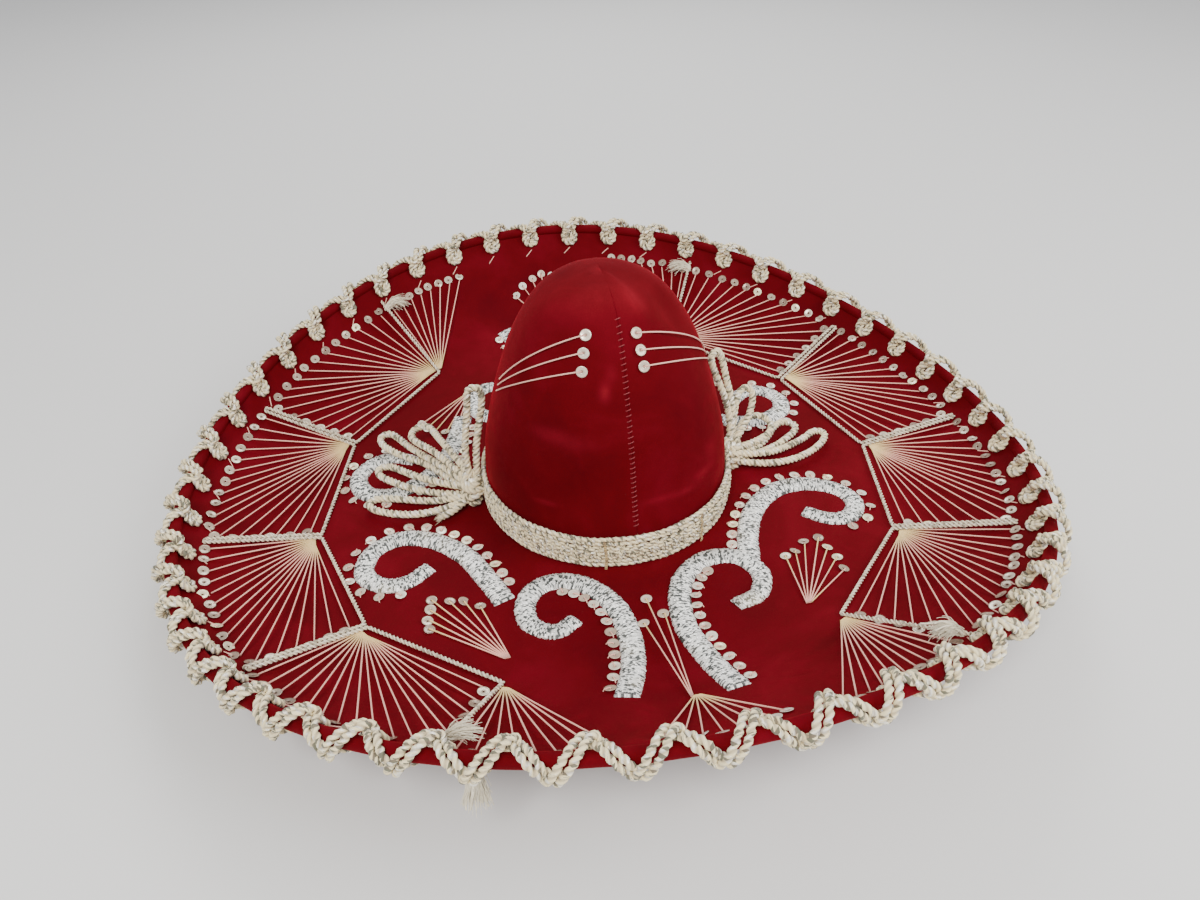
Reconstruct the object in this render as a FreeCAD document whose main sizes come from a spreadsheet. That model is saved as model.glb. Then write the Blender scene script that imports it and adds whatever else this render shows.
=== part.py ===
"""Sombrero with a saddle-shaped brim, a tapered crown, and cord, thread and sequin embroidery.

Millimetres, +Z up, the front of the hat toward -Y. The hat stands on the two low sides of its brim, and
the origin is on that surface, under the middle of the crown. Angles run from the front, positive toward +X.
A point on the brim is (radius, angle, lift): its radius along Y, its angle, and its lift off the velvet.
"""

import FreeCAD, Part
import math
import os

import Sketcher
from FreeCAD import Matrix, Placement, Rotation, Vector

SIZES = {
    "brim_length": 570,
    "brim_aspect": 1.018,
    "board_thickness": 2.2,
    "velvet_thickness": 1,
    "dish_height": 44.6,
    "dish_start": 150,
    "dish_power": 2.68,
    "saddle_height": 29.2,
    "saddle_start": 80,
    "saddle_power": 1.96,
    "lip_height": 8.5,
    "lip_width": 23,
    "rim_diameter": 8,
    "wire_diameter": 2,
    "crown_height": 163,
    "crown_half_width": 82.5,
    "crown_half_depth": 86,
    "shell_thickness": 1.6,
    "lining_thickness": 0.5,
    "sweatband_thickness": 1.2,
    "sweatband_height": 25,
    "band_height": 23,
    "plait_height": 11,
    "band_cord": 3,
    "bow_cord": 5,
    "web_cord": 2.6,
    "rim_cord": 3.2,
    "thread": 0.9,
    "sequin_diameter": 7,
    "sequin_hole": 1.4,
    "sequin_thickness": 0.35,
    "corner_radius": 195,
    "spoke_end": 266,
    "sequin_circle": 262.5,
    "scroll_width": 14.5,
    "scroll_height": 3.2,
    "rim_loops": 50,
}

# Crown outline: share of the height, then shares of the half width and half depth at that height.
CROWN_OUTLINE = (
    (0.0, 1.0, 1.0),
    (0.135, 1.0, 0.953),
    (0.276, 0.982, 0.895),
    (0.46, 0.903, 0.831),
    (0.644, 0.788, 0.727),
    (0.767, 0.691, 0.64),
    (0.871, 0.564, 0.541),
    (0.939, 0.43, 0.43),
    (0.982, 0.267, 0.267),
    (1.0, 0.109, 0.105),
)
# Pinched dents beside the front seam: angle, share of the height, depth.
CROWN_DENTS = ((58, 0.87, 6.5), (-52, 0.86, 2.5))
DENT_SPREAD = (22, 0.1)
CORNER_SHARE = 0.45  # how far along the shorter run beside it the arc of a cord's corner starts

doc = FreeCAD.newDocument("sombrero")


def make_sheet():
    """The driving dimensions, one alias for each."""
    sheet = doc.addObject("Spreadsheet::Sheet", "sizes")
    for row, (name, value) in enumerate(SIZES.items(), start=1):
        sheet.set(f"A{row}", name)
        sheet.set(f"B{row}", str(value))
        sheet.setAlias(f"B{row}", name)
    doc.recompute()
    return sheet


sizes = make_sheet()
brim_radius = sizes.brim_length / 2
brim_stack = sizes.board_thickness + 2 * sizes.velvet_thickness
nodes = []


def sub_part(name, shape):
    """A sub-part whose shape is set here, with its Placement after it."""
    node = doc.addObject("Part::Feature", name)
    node.Label = name
    node.Shape = shape
    node.Placement = shape.Placement
    nodes.append(node)
    return node


# ---------------------------------------------------------------- surfaces


def share(radius, start):
    return max(0.0, (radius - start) / (brim_radius - start))


def velvet_height(radius, angle):
    """Height of the brim's top surface above the crown's foot."""
    dish = sizes.dish_height * share(radius, sizes.dish_start) ** sizes.dish_power
    saddle = sizes.saddle_height * share(radius, sizes.saddle_start) ** sizes.saddle_power
    lip = sizes.lip_height * max(0.0, 1 - (brim_radius - radius) / sizes.lip_width) ** 2
    return dish + saddle * math.cos(2 * math.radians(angle)) + lip


def lowest_underside():
    heights = [velvet_height(radius, 90) for radius in range(int(sizes.dish_start), int(brim_radius))]
    return min(heights) - brim_stack


foot_height = -lowest_underside()
rim_end = brim_radius - sizes.rim_diameter / 2


def brim_xyz(radius, angle, depth=0):
    """A point on the brim's top surface, or that far straight below it."""
    turn = math.radians(angle)
    x = radius * sizes.brim_aspect * math.sin(turn)
    y = -radius * math.cos(turn)
    return Vector(x, y, foot_height + velvet_height(radius, angle) - depth)


def brim_normal(radius, angle):
    step = 0.5
    outward = brim_xyz(radius + step, angle) - brim_xyz(radius - step, angle)
    around = brim_xyz(radius, angle + step) - brim_xyz(radius, angle - step)
    return outward.cross(around).normalize()


def on_brim(radius, angle, lift=0.0):
    return brim_xyz(radius, angle) + brim_normal(radius, angle) * lift


def polar(x, y):
    """Radius and angle of a place on the brim, seen from above."""
    across = x / sizes.brim_aspect
    return math.hypot(across, y), math.degrees(math.atan2(across, -y))


def above_brim(x, y, lift):
    radius, angle = polar(x, y)
    return on_brim(radius, angle, lift)


def between(rows, at):
    """Rows of numbers, read between two of them along their first column by a smooth curve."""
    last = len(rows) - 1
    i = next((k for k in range(last) if at <= rows[k + 1][0]), last - 1)
    low, high = rows[i], rows[i + 1]
    before, after = rows[max(i - 1, 0)], rows[min(i + 2, last)]
    span = high[0] - low[0]
    part = (at - low[0]) / span
    result = []
    for column in range(1, len(low)):
        slope_low = (high[column] - before[column]) / (high[0] - before[0]) * span
        slope_high = (after[column] - low[column]) / (after[0] - low[0]) * span
        rise = high[column] - low[column]
        cubic = slope_low + slope_high - 2 * rise
        square = 3 * rise - 2 * slope_low - slope_high
        result.append(low[column] + part * (slope_low + part * (square + part * cubic)))
    return result


def crown_xyz(height_share, angle, inset=0.0):
    """A point on the crown's velvet, or that far inside it."""
    width, depth = between(CROWN_OUTLINE, height_share)
    turn = math.radians(angle)
    dent = 0
    for dent_angle, dent_height, dent_depth in CROWN_DENTS:
        round_it = (angle - dent_angle) / DENT_SPREAD[0]
        up_it = (height_share - dent_height) / DENT_SPREAD[1]
        dent += dent_depth * math.exp(-(round_it**2) - up_it**2)
    half_width = width * sizes.crown_half_width - dent - inset
    half_depth = depth * sizes.crown_half_depth - dent - inset
    height = foot_height + (sizes.crown_height - inset) * height_share
    return Vector(half_width * math.sin(turn), -half_depth * math.cos(turn), height)


def crown_radius(angle, grow=0.0):
    """Radius of the crown's foot in the brim's own polar measure."""
    turn = math.radians(angle)
    half_width = (sizes.crown_half_width + grow) / sizes.brim_aspect
    half_depth = sizes.crown_half_depth + grow
    return 1 / math.hypot(math.sin(turn) / half_width, math.cos(turn) / half_depth)


# ---------------------------------------------------------------- shells made from two skins

FULL_TURN = range(-180, 181, 15)


def skin(point, rows):
    """A smooth face all round the hat through the points of a function of (row, angle)."""
    surface = Part.BSplineSurface()
    surface.interpolate([[point(row, angle) for angle in FULL_TURN] for row in rows])
    return surface.toShape()


def edge_along(face, points):
    """The edge of a face that passes nearest to all of these points."""
    return min(face.Edges, key=lambda edge: max(edge.distToShape(Part.Vertex(p))[0] for p in points))


def shell_between(outer, inner, rows, capped):
    """A closed solid between two skins round the hat; capped closes each skin flat at its last row."""
    faces = {side: skin(side, rows) for side in (outer, inner)}
    walls = []
    for row in (rows[0], rows[-1]):
        edges = [edge_along(face, [side(row, at) for at in FULL_TURN]) for side, face in faces.items()]
        if capped and row == rows[-1]:
            walls += [Part.Face(Part.Wire([edge])) for edge in edges]
        else:
            walls.append(Part.makeRuledSurface(*edges))
    shell = Part.Shell([*faces.values(), *walls])
    shell.sewShape()
    return Part.makeSolid(shell)


def add_brim():
    """Velvet, board and velvet, one on the other, from the crown's foot to the rolled rim."""
    steps = 11
    rows = [step / steps for step in range(steps + 1)]

    def layer(depth, grow):
        def point(row, angle):
            start = crown_radius(angle, grow)
            return brim_xyz(start + (rim_end - start) * row, angle, depth)

        return point

    first = sizes.velvet_thickness
    second = first + sizes.board_thickness
    ease = 0.2
    inside = -sizes.velvet_thickness - sizes.shell_thickness - sizes.lining_thickness
    layers = (("brim_velvet_top", 0, first, ease), ("brim_board", first, second, inside))
    for name, top, bottom, grow in layers + (("brim_velvet_under", second, brim_stack, inside),):
        sub_part(name, shell_between(layer(top, grow), layer(bottom, grow), rows, False))


def add_crown():
    """Stiff shell with its lining inside and two velvet gores outside, split along the centre seams."""
    heights = [row[0] for row in CROWN_OUTLINE]

    def wall(inset):
        return lambda row, angle: crown_xyz(row, angle, inset)

    velvet_inside = sizes.velvet_thickness
    shell_inside = velvet_inside + sizes.shell_thickness
    lining_inside = shell_inside + sizes.lining_thickness
    sub_part("crown_shell", shell_between(wall(velvet_inside), wall(shell_inside), heights, True))
    sub_part("crown_lining", shell_between(wall(shell_inside), wall(lining_inside), heights, True))
    velvet = shell_between(wall(0), wall(velvet_inside), heights, True)
    reach = 2 * sizes.crown_height
    seam_gap = 0.15
    for side, corner in (("right", seam_gap), ("left", -reach - seam_gap)):
        half = Part.makeBox(reach, 2 * reach, reach, Vector(corner, -reach, 0))
        sub_part(f"crown_velvet_{side}", velvet.common(half).Solids[0])


# ---------------------------------------------------------------- cords and threads


def corner_arc(before, corner, after):
    """Radius and three points of the tangent arc at a corner of a route."""
    back, ahead = before - corner, after - corner
    reach = CORNER_SHARE * min(back.Length, ahead.Length)
    turn = math.pi - back.getAngle(ahead)
    radius = reach / math.tan(turn / 2)
    back.normalize()
    ahead.normalize()
    first, last = corner + back * reach, corner + ahead * reach
    inward = (back + ahead).normalize()
    middle = corner + inward * (radius / math.cos(turn / 2) - radius)
    return radius, first, middle, last


def route_wire(points):
    """Straight runs joined by tangent arcs, with the length and the smallest radius."""
    edges, start, smallest = [], points[0], math.inf
    for before, corner, after in zip(points, points[1:], points[2:]):
        radius, first, middle, last = corner_arc(before, corner, after)
        edges.append(Part.LineSegment(start, first).toShape())
        edges.append(Part.Arc(first, middle, last).toShape())
        start, smallest = last, min(smallest, radius)
    edges.append(Part.LineSegment(start, points[-1]).toShape())
    wire = Part.Wire(edges)
    return wire, wire.Length, smallest


def tube(points, diameter):
    """A round cord along a route; returns its solid, its length and its smallest radius."""
    wire, length, smallest = route_wire(points)
    circle = Part.Wire(Part.makeCircle(diameter / 2, points[0], points[1] - points[0]))
    solid = wire.makePipeShell([circle], True, False)
    expected = math.pi * diameter**2 / 4 * length
    tolerance = 0.03
    if abs(solid.Volume - expected) > tolerance * expected:
        raise ValueError(f"a tube holds {solid.Volume:.0f} mm3 and should hold {expected:.0f}")
    return solid, length, smallest


def add_cord(name, points, diameter):
    solid, length, smallest = tube(points, diameter)
    print(f"{name}: {length:.0f} mm long, smallest radius {smallest:.1f} mm")
    return sub_part(name, solid)


def ring_route(radius_at, count, first, last):
    """Points round the hat from one angle to another."""
    step = (last - first) / count
    return [radius_at(first + step * i) for i in range(count + 1)]


def add_rim():
    """Edge wire and the velvet roll around it; both close at the back of the hat."""
    count = 48
    gap = 0.15
    clearance = 0.2
    middle_depth = brim_stack / 2
    roll_radius = sizes.rim_diameter / 2

    def centre(angle):
        return brim_xyz(rim_end, angle, middle_depth)

    route = ring_route(centre, count, -180 + gap, 180 - gap)
    wire = tube(route, sizes.wire_diameter)[0]
    roll = tube(route, 2 * roll_radius)[0].cut(tube(route, sizes.wire_diameter + clearance)[0])
    sub_part("rim_edge_wire", wire)
    sub_part("rim_velvet_roll", roll)


BAND_EASE = 0.3
TIE_ANGLES = (-15, 32)


def add_band():
    """Elliptical rings round the crown's foot: a flat plait with round cords above and below it."""
    cord = sizes.band_cord
    count, gap = 36, 0.1
    lower_heights = [cord * (0.5 + i) + BAND_EASE for i in range(2)]
    plait_low = 2 * cord + BAND_EASE
    upper_heights = [plait_low + sizes.plait_height + cord * (0.5 + i) for i in range(2)]
    for name, heights in (("hat_band_lower_cords", lower_heights), ("hat_band_upper_cords", upper_heights)):
        rings = [
            tube(ring_route(lambda angle: band_xyz(angle, height), count, gap - 180, 180 - gap), cord)[0]
            for height in heights
        ]
        sub_part(name, Part.Compound(rings))
    outer = cord + BAND_EASE
    add_oval_strip("hat_band_plait", (outer, outer), (BAND_EASE, BAND_EASE), sizes.plait_height, plait_low)
    tie_radius = 0.4
    ties = []
    for angle in TIE_ANGLES:
        out = cord / 2 + tie_radius
        low, high = (band_xyz(angle, height, out) for height in (BAND_EASE, sizes.band_height))
        ties.append(straight(low, high, 2 * tie_radius))
    sub_part("hat_band_ties", Part.Compound(ties))


def band_xyz(angle, height, out=0.0):
    """Middle of the hat band's cords at a height above the crown's foot."""
    turn = math.radians(angle)
    grow = sizes.band_cord / 2 + BAND_EASE + out
    x = (sizes.crown_half_width + grow) * math.sin(turn)
    y = -(sizes.crown_half_depth + grow) * math.cos(turn)
    return Vector(x, y, foot_height + height)


def oval_disc(name, grow, height, low):
    """An upright oval disc round the crown's foot, bound to the sheet; its long axis is along Y."""
    ellipse = doc.addObject("Part::Ellipse", f"{name}_outline")
    ellipse.setExpression("MajorRadius", f"<<sizes>>.crown_half_depth + {grow[1]}")
    ellipse.setExpression("MinorRadius", f"<<sizes>>.crown_half_width + {grow[0]}")
    ellipse.Placement = Placement(Vector(0, 0, foot_height + low), Rotation(Vector(0, 0, 1), 90))
    disc = doc.addObject("Part::Extrusion", name)
    disc.Base = ellipse
    disc.Dir = Vector(0, 0, 1)
    disc.LengthFwd = height
    disc.Solid = True
    return disc


def add_oval_strip(name, outer, inner, height, low):
    """An oval strip between two discs, each grown from the crown's foot by (width, depth)."""
    strip = doc.addObject("Part::Cut", name)
    strip.Base = oval_disc(f"{name}_outside", outer, height, low)
    strip.Tool = oval_disc(f"{name}_inside", inner, height, low)
    strip.Label = name
    nodes.append(strip)


def add_sweatband():
    """Leather strip inside the head opening; the crown narrows faster in depth than in width."""
    wall = sizes.velvet_thickness + sizes.shell_thickness + sizes.lining_thickness
    side_gap, end_gap = 0.8, 4.2
    outer = (-wall - side_gap, -wall - end_gap)
    inner = tuple(grow - sizes.sweatband_thickness for grow in outer)
    add_oval_strip("sweatband", outer, inner, sizes.sweatband_height, -brim_stack)


def straight(first, last, diameter):
    return Part.makeCylinder(diameter / 2, first.distanceToPoint(last), first, last - first)


# ---------------------------------------------------------------- sequins


def make_sequin_blank():
    """One sequin: a thin round disc with a hole, padded from a sketch."""
    body = doc.addObject("PartDesign::Body", "sequin_blank")
    sketch = body.newObject("Sketcher::SketchObject", "sequin_outline")
    plane = next(part for part in body.Origin.OriginFeatures if part.Role == "XY_Plane")
    sketch.AttachmentSupport = [(plane, "")]
    sketch.MapMode = "FlatFace"
    for index, size in enumerate(("sequin_diameter", "sequin_hole")):
        radius = getattr(sizes, size) / 2
        sketch.addGeometry(Part.Circle(Vector(), Vector(0, 0, 1), radius), False)
        sketch.addConstraint(Sketcher.Constraint("Coincident", index, 3, -1, 1))
        number = sketch.addConstraint(Sketcher.Constraint("Diameter", index, 2 * radius))
        sketch.setExpression(f"Constraints[{number}]", f"<<sizes>>.{size}")
    pad = body.newObject("PartDesign::Pad", "sequin_pad")
    pad.Profile = sketch
    pad.setExpression("Length", "<<sizes>>.sequin_thickness")
    doc.recompute()
    return body.Shape


def placed_sequin(blank, place, normal):
    """A copy of the blank, face along the normal."""
    copy = blank.copy()
    copy.Placement = Placement(place, Rotation(Vector(0, 0, 1), normal))
    return copy


# ---------------------------------------------------------------- embroidery

CORNER_ANGLES = (150, 120, 90, 60, 30)  # from the back of one side to its front
SIDES = (("left", -1), ("right", 1))
SEQUIN_LIFT = 0.4
THREAD_LIFT = 0.9
WEB_HALF_GAP = 0.65  # half the distance between a spoke's two cords, in cord diameters
CELL_THREADS = (11, 6)  # along the rim and along the next spoke, in a cell between two spokes
# First and last angle of the fans beyond the end spokes, with their threads.
END_FANS = {"left": ((150, 168, 8), (30, 9, 9)), "right": ((150, 168, 8), (30, 9, 11))}


def web_route(sign):
    """One cord: in from the back, round five corners, out and back along the spokes, out at the front."""
    inner, outer = sizes.corner_radius, sizes.spoke_end
    ease, end_reach, set_in = 0.1, 4, 1
    lift = sizes.web_cord / 2 + ease
    half_gap = WEB_HALF_GAP * sizes.web_cord
    beside_inner = math.degrees(half_gap / inner)
    beside_outer = math.degrees(half_gap / outer)
    back, front = CORNER_ANGLES[0], CORNER_ANGLES[-1]
    route = [on_brim(outer + end_reach, sign * back, lift), on_brim(inner, sign * back, lift)]
    for angle in CORNER_ANGLES[1:-1]:
        route.append(on_brim(inner - set_in, sign * (angle + beside_inner), lift))
        route.append(on_brim(outer, sign * (angle + beside_outer), lift))
        route.append(on_brim(outer, sign * (angle - beside_outer), lift))
        route.append(on_brim(inner - set_in, sign * (angle - beside_inner), lift))
    route += [on_brim(inner, sign * front, lift), on_brim(outer + end_reach, sign * front, lift)]
    return route


def fan_ends(first, last, rim_count, spoke_count):
    """Radius and angle of each thread's outer end: along the rim, then in along the next spoke."""
    step = (last - first) / (rim_count + 1)
    rim_start, spoke_start, clear = 0.6, 0.4, 1.5
    ends = [(sizes.sequin_circle, first + step * (i + rim_start)) for i in range(rim_count)]
    reach = sizes.sequin_circle - sizes.corner_radius
    beside = clear if last < first else -clear
    for i in range(spoke_count):
        along = sizes.sequin_circle - reach * (i + spoke_start) / spoke_count
        ends.append((along, last + beside * sizes.sequin_circle / along))
    return ends


def add_fans(blank):
    """Taut threads from each corner of the web to a sequin each."""
    gather_out, sequin_out = 3.5, 2.5
    first_spread, more_spread = 0.35, 0.12
    for side, sign in SIDES:
        threads, sequins = [], []
        cells = [(*ends, *CELL_THREADS) for ends in zip(CORNER_ANGLES, CORNER_ANGLES[1:])]
        cells += [(*ends, 0) for ends in END_FANS[side]]
        for first, last, rim_count, spoke_count in cells:
            toward = 1 if last > first else -1
            for number, (radius, angle) in enumerate(fan_ends(first, last, rim_count, spoke_count)):
                spread = toward * (first_spread + more_spread * number)
                apex = on_brim(sizes.corner_radius + gather_out, sign * (first + spread), THREAD_LIFT)
                end = on_brim(radius, sign * angle, THREAD_LIFT)
                threads.append(straight(apex, end, sizes.thread))
                normal = brim_normal(radius, sign * angle)
                place = on_brim(radius + sequin_out, sign * angle, SEQUIN_LIFT)
                sequins.append(placed_sequin(blank, place, normal))
        sub_part(f"{side}_fan_threads", Part.Compound(threads))
        sub_part(f"{side}_fan_sequins", Part.Compound(sequins))


# Small fans and hourglasses: the foot of the threads, then the sequin at the end of each.
FRONT_LEFT_FAN = (
    (-135, -110),
    (-134, -103),
    (-133, -94),
    (-131, -86),
    (-121, -90),
    (-112, -93),
    (-103, -101),
)
FRONT_RIGHT_FAN = (
    (91, -107),
    (99, -104),
    (108, -98),
    (119, -95),
    (121, -105),
    (122, -116),
    (122, -128),
)
BACK_LEFT_FAN = ((-120, 108), (-117, 101), (-111, 95), (-103, 91), (-96, 90), (-89, 91))
BACK_RIGHT_FAN = ((120, 108), (117, 101), (111, 95), (103, 91), (96, 90), (89, 91))
SMALL_FANS = {
    "left": (((-94, -148), FRONT_LEFT_FAN), ((-80, 138), BACK_LEFT_FAN)),
    "right": (((87, -152), FRONT_RIGHT_FAN), ((80, 138), BACK_RIGHT_FAN)),
}
HOURGLASSES = {
    "front": (
        (-4, -212),
        ((-12, -142), (-5, -121), (2, -137)),
        ((-32, -246), (-24, -252), (-16, -256), (-7, -259), (2, -260), (11, -258), (20, -254), (28, -248)),
    ),
    "back": (
        (4, 205),
        ((-6, 146), (3, 132), (10, 142)),
        ((-22, 238), (-14, 246), (-5, 251), (4, 254), (13, 252), (22, 246)),
    ),
}
CROWN_SEQUINS = {"left": (-25, 0.875, 0.82, 0.76), "right": (12, 0.87, 0.815, 0.76)}
CROWN_GATHER = {"left": (-88, 0.575), "right": (88, 0.575)}


def fan_from(blank, foot, ends):
    """Threads from one place on the brim to a sequin each."""
    foot_gap = 0.5
    threads, sequins = [], []
    for number, (x, y) in enumerate(ends):
        shift = (number - (len(ends) - 1) / 2) * foot_gap
        start = above_brim(foot[0] + shift, foot[1], THREAD_LIFT)
        threads.append(straight(start, above_brim(x, y, THREAD_LIFT), sizes.thread))
        normal = brim_normal(*polar(x, y))
        sequins.append(placed_sequin(blank, above_brim(x, y, SEQUIN_LIFT), normal))
    return threads, sequins


def add_small_fans(blank):
    for side, fans in SMALL_FANS.items():
        threads, sequins = [], []
        for foot, ends in fans:
            more_threads, more_sequins = fan_from(blank, foot, ends)
            threads += more_threads
            sequins += more_sequins
        sub_part(f"{side}_small_fan_threads", Part.Compound(threads))
        sub_part(f"{side}_small_fan_sequins", Part.Compound(sequins))
    for place, (waist, inner, outer) in HOURGLASSES.items():
        threads, sequins = fan_from(blank, waist, inner + outer)
        sub_part(f"{place}_hourglass_threads", Part.Compound(threads))
        sub_part(f"{place}_hourglass_sequins", Part.Compound(sequins))


def crown_normal(height_share, angle):
    step = 0.01
    up = crown_xyz(height_share + step, angle) - crown_xyz(height_share - step, angle)
    around = crown_xyz(height_share, angle + 1) - crown_xyz(height_share, angle - 1)
    return around.cross(up).normalize()


def on_crown(height_share, angle, lift):
    return crown_xyz(height_share, angle) + crown_normal(height_share, angle) * lift


def inside_crown(point):
    """Whether a point is inside the outer surface of the crown's velvet."""
    width, depth = between(CROWN_OUTLINE, (point.z - foot_height) / sizes.crown_height)
    half_width = width * sizes.crown_half_width
    half_depth = depth * sizes.crown_half_depth
    return math.hypot(point.x / half_width, point.y / half_depth) < 1


def pulled_taut(first, last, outward, runs, lift):
    """Points of a thread pulled tight over the crown: the straight line, pushed out to the velvet."""
    halvings = 20
    points = []
    for i in range(runs + 1):
        place = first + (last - first) * (i / runs)
        near, far = 0, sizes.crown_half_width
        for _ in range(halvings):
            middle = (near + far) / 2
            if inside_crown(place + outward * middle):
                near = middle
            else:
                far = middle
        points.append(place + outward * (near + lift))
    return points


def add_crown_threads(blank):
    """Three threads a side, from beside the front seam to the side of the crown."""
    runs = 7
    spread = 0.025
    for side, (angle, *heights) in CROWN_SEQUINS.items():
        gather_angle, gather_height = CROWN_GATHER[side]
        threads, sequins = [], []
        for row, height in enumerate(heights):
            normal = crown_normal(height, angle)
            last = crown_xyz(gather_height + spread * (1 - row), gather_angle)
            outward = (normal + crown_normal(gather_height, gather_angle)).normalize()
            points = pulled_taut(crown_xyz(height, angle), last, outward, runs, THREAD_LIFT)
            threads.append(tube(points, sizes.thread)[0])
            sequins.append(placed_sequin(blank, on_crown(height, angle, SEQUIN_LIFT), normal))
        sub_part(f"crown_threads_{side}", Part.Compound(threads))
        sub_part(f"crown_sequins_{side}", Part.Compound(sequins))


def add_seams():
    """Ladder stitches across the front and back seams of the crown."""
    stitches = []
    pitch, first, last = 0.02, 0.16, 0.93
    half_width, lift, thickness = 1.7, 0.35, 0.6
    for angle in (0, 180):
        for number in range(int((last - first) / pitch)):
            middle = on_crown(first + pitch * number, angle, lift)
            across = Vector(half_width, 0, 0)
            stitches.append(straight(middle - across, middle + across, thickness))
    sub_part("crown_seam_stitches", Part.Compound(stitches))


# ---------------------------------------------------------------- scrolls

# Middle line of each scroll, from its foot to the end of its curl.
SCROLLS = {
    "front_left_inner_scroll": (
        (-38, -200),
        (-28, -176),
        (-23, -150),
        (-25, -120),
        (-40, -97),
        (-60, -91),
        (-75, -102),
        (-77, -122),
        (-64, -134),
        (-49, -127),
    ),
    "front_left_outer_scroll": (
        (-88, -100),
        (-96, -76),
        (-106, -52),
        (-124, -31),
        (-146, -21),
        (-165, -28),
        (-171, -47),
        (-160, -62),
        (-144, -64),
        (-129, -55),
    ),
    "front_right_inner_scroll": (
        (20, -212),
        (14, -180),
        (11, -146),
        (20, -113),
        (40, -96),
        (61, -99),
        (70, -117),
        (62, -135),
        (45, -141),
    ),
    "front_right_outer_scroll": (
        (68, -104),
        (76, -80),
        (90, -56),
        (112, -40),
        (136, -38),
        (155, -48),
        (160, -64),
        (150, -77),
        (135, -77),
        (121, -66),
    ),
}
BACK_MIRROR = 8
SCROLL_LIFT = 0.05


def half_oval(width, height, place, across, up):
    """Closed half-oval outline standing on the brim across a scroll."""
    left, right = place - across * (width / 2), place + across * (width / 2)
    arch = Part.Arc(left, place + up * height, right).toShape()
    return Part.Wire([arch, Part.LineSegment(right, left).toShape()])


def add_scroll(name, outline):
    """A padded scroll: half-oval sections along its middle line, narrow at the end of the curl."""
    narrowing, sharpness, sections_per_point = 0.25, 4, 3
    places = [above_brim(x, y, SCROLL_LIFT) for x, y in outline]
    line = Part.BSplineCurve()
    line.interpolate(places)
    count = sections_per_point * len(outline)
    sections = []
    for i in range(count + 1):
        part = i / count
        at = line.FirstParameter + (line.LastParameter - line.FirstParameter) * part
        point = line.value(at)
        radius, angle = polar(point.x, point.y)
        up = brim_normal(radius, angle)
        place = on_brim(radius, angle, SCROLL_LIFT)
        across = Vector(*line.tangent(at)[0]).cross(up).normalize()
        width = sizes.scroll_width * (1 - narrowing * part**sharpness)
        sections.append(half_oval(width, sizes.scroll_height, place, across, up))
    sub_part(name, Part.makeLoft(sections, True, False))


def add_scrolls(blank):
    for name, outline in SCROLLS.items():
        add_scroll(name, outline)
        behind = tuple((x, BACK_MIRROR - y) for x, y in outline)
        add_scroll(name.replace("front", "back"), behind)
    for side, sign in SIDES:
        sequins = []
        for name, outline in SCROLLS.items():
            if f"_{side}_" in name:
                for place in beside_scroll(outline, sign, "outer" in name):
                    for x, y in (place, (place[0], BACK_MIRROR - place[1])):
                        normal = brim_normal(*polar(x, y))
                        sequins.append(placed_sequin(blank, above_brim(x, y, SEQUIN_LIFT), normal))
        sub_part(f"{side}_scroll_sequins", Part.Compound(sequins))


def beside_scroll(outline, sign, outside):
    """Places of the sequins: along the outer edge of an outer scroll, or inside the bend of an inner one."""
    line = Part.BSplineCurve()
    line.interpolate([Vector(x, y, 0) for x, y in outline])
    gap = sizes.scroll_width / 2 + 3
    start, pitch, covered = (14, 9.5, 0.9) if outside else (6, 10.5, 0.6)
    turn = sign if outside else -sign
    places = []
    for i in range(int((line.length() * covered - start) / pitch) + 1):
        at = line.parameterAtDistance(start + pitch * i, line.FirstParameter)
        tangent = Vector(*line.tangent(at)[0])
        normal = Vector(-tangent.y, tangent.x, 0) * turn
        point = line.value(at) + normal * gap
        places.append((point.x, point.y))
    return places


# ---------------------------------------------------------------- rim cord

# One loop of the rim cord: distance round the rim, distance in from the crest of the rim along its
# surface, and lift. The cord comes in over the rim, turns back at the tip and goes out under itself.
RIM_LACE = (
    (-18, -11.5, 2.0),
    (-7.5, -3.5, 2.6),
    (-3.8, 2, 4.2),
    (0.8, 8, 6.2),
    (4.7, 14, 3.6),
    (2.7, 19.2, 1.9),
    (-2.7, 19.2, 1.9),
    (-4.7, 14, 1.9),
    (-0.8, 8, 1.9),
    (3.8, 2, 2.2),
    (7.5, -3.5, 2.6),
)
LOOP_TIP = 22.5
LOOP_UNEVENNESS = 0.04
LOOP_RHYTHM = 2.4  # radians of the unevenness from one loop to the next
STRAND_OFFSET = 0.53  # of a strand's diameter, from the middle of the pair
# The rim's profile: how far in it reaches, its steps along the brim, and its steps round the roll.
PROFILE_REACH = 36
PROFILE_STEP = 3
ROLL_STEPS = 8


def rim_profile(angle):
    """Cross-section of the rim from the inside to the underside: points and outward normals in one plane."""
    turn = math.radians(angle)
    outward = Vector(sizes.brim_aspect * math.sin(turn), -math.cos(turn), 0)
    centre = brim_xyz(rim_end, angle, brim_stack / 2)
    roll = sizes.rim_diameter / 2
    profile = []
    for inward in range(PROFILE_REACH, 0, -PROFILE_STEP):
        radius = rim_end - inward
        profile.append((brim_xyz(radius, angle), brim_normal(radius, angle)))
    top = brim_normal(rim_end - 1, angle)
    start = math.atan2(top.z, top.dot(outward))
    for step in range(ROLL_STEPS + 1):
        at = start - math.pi * step / ROLL_STEPS
        normal = outward * math.cos(at) + Vector(0, 0, math.sin(at))
        profile.append((centre + normal * roll, normal))
    for inward in range(PROFILE_STEP, PROFILE_REACH, PROFILE_STEP):
        radius = rim_end - inward
        profile.append((brim_xyz(radius, angle, brim_stack), -brim_normal(radius, angle)))
    return profile


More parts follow.
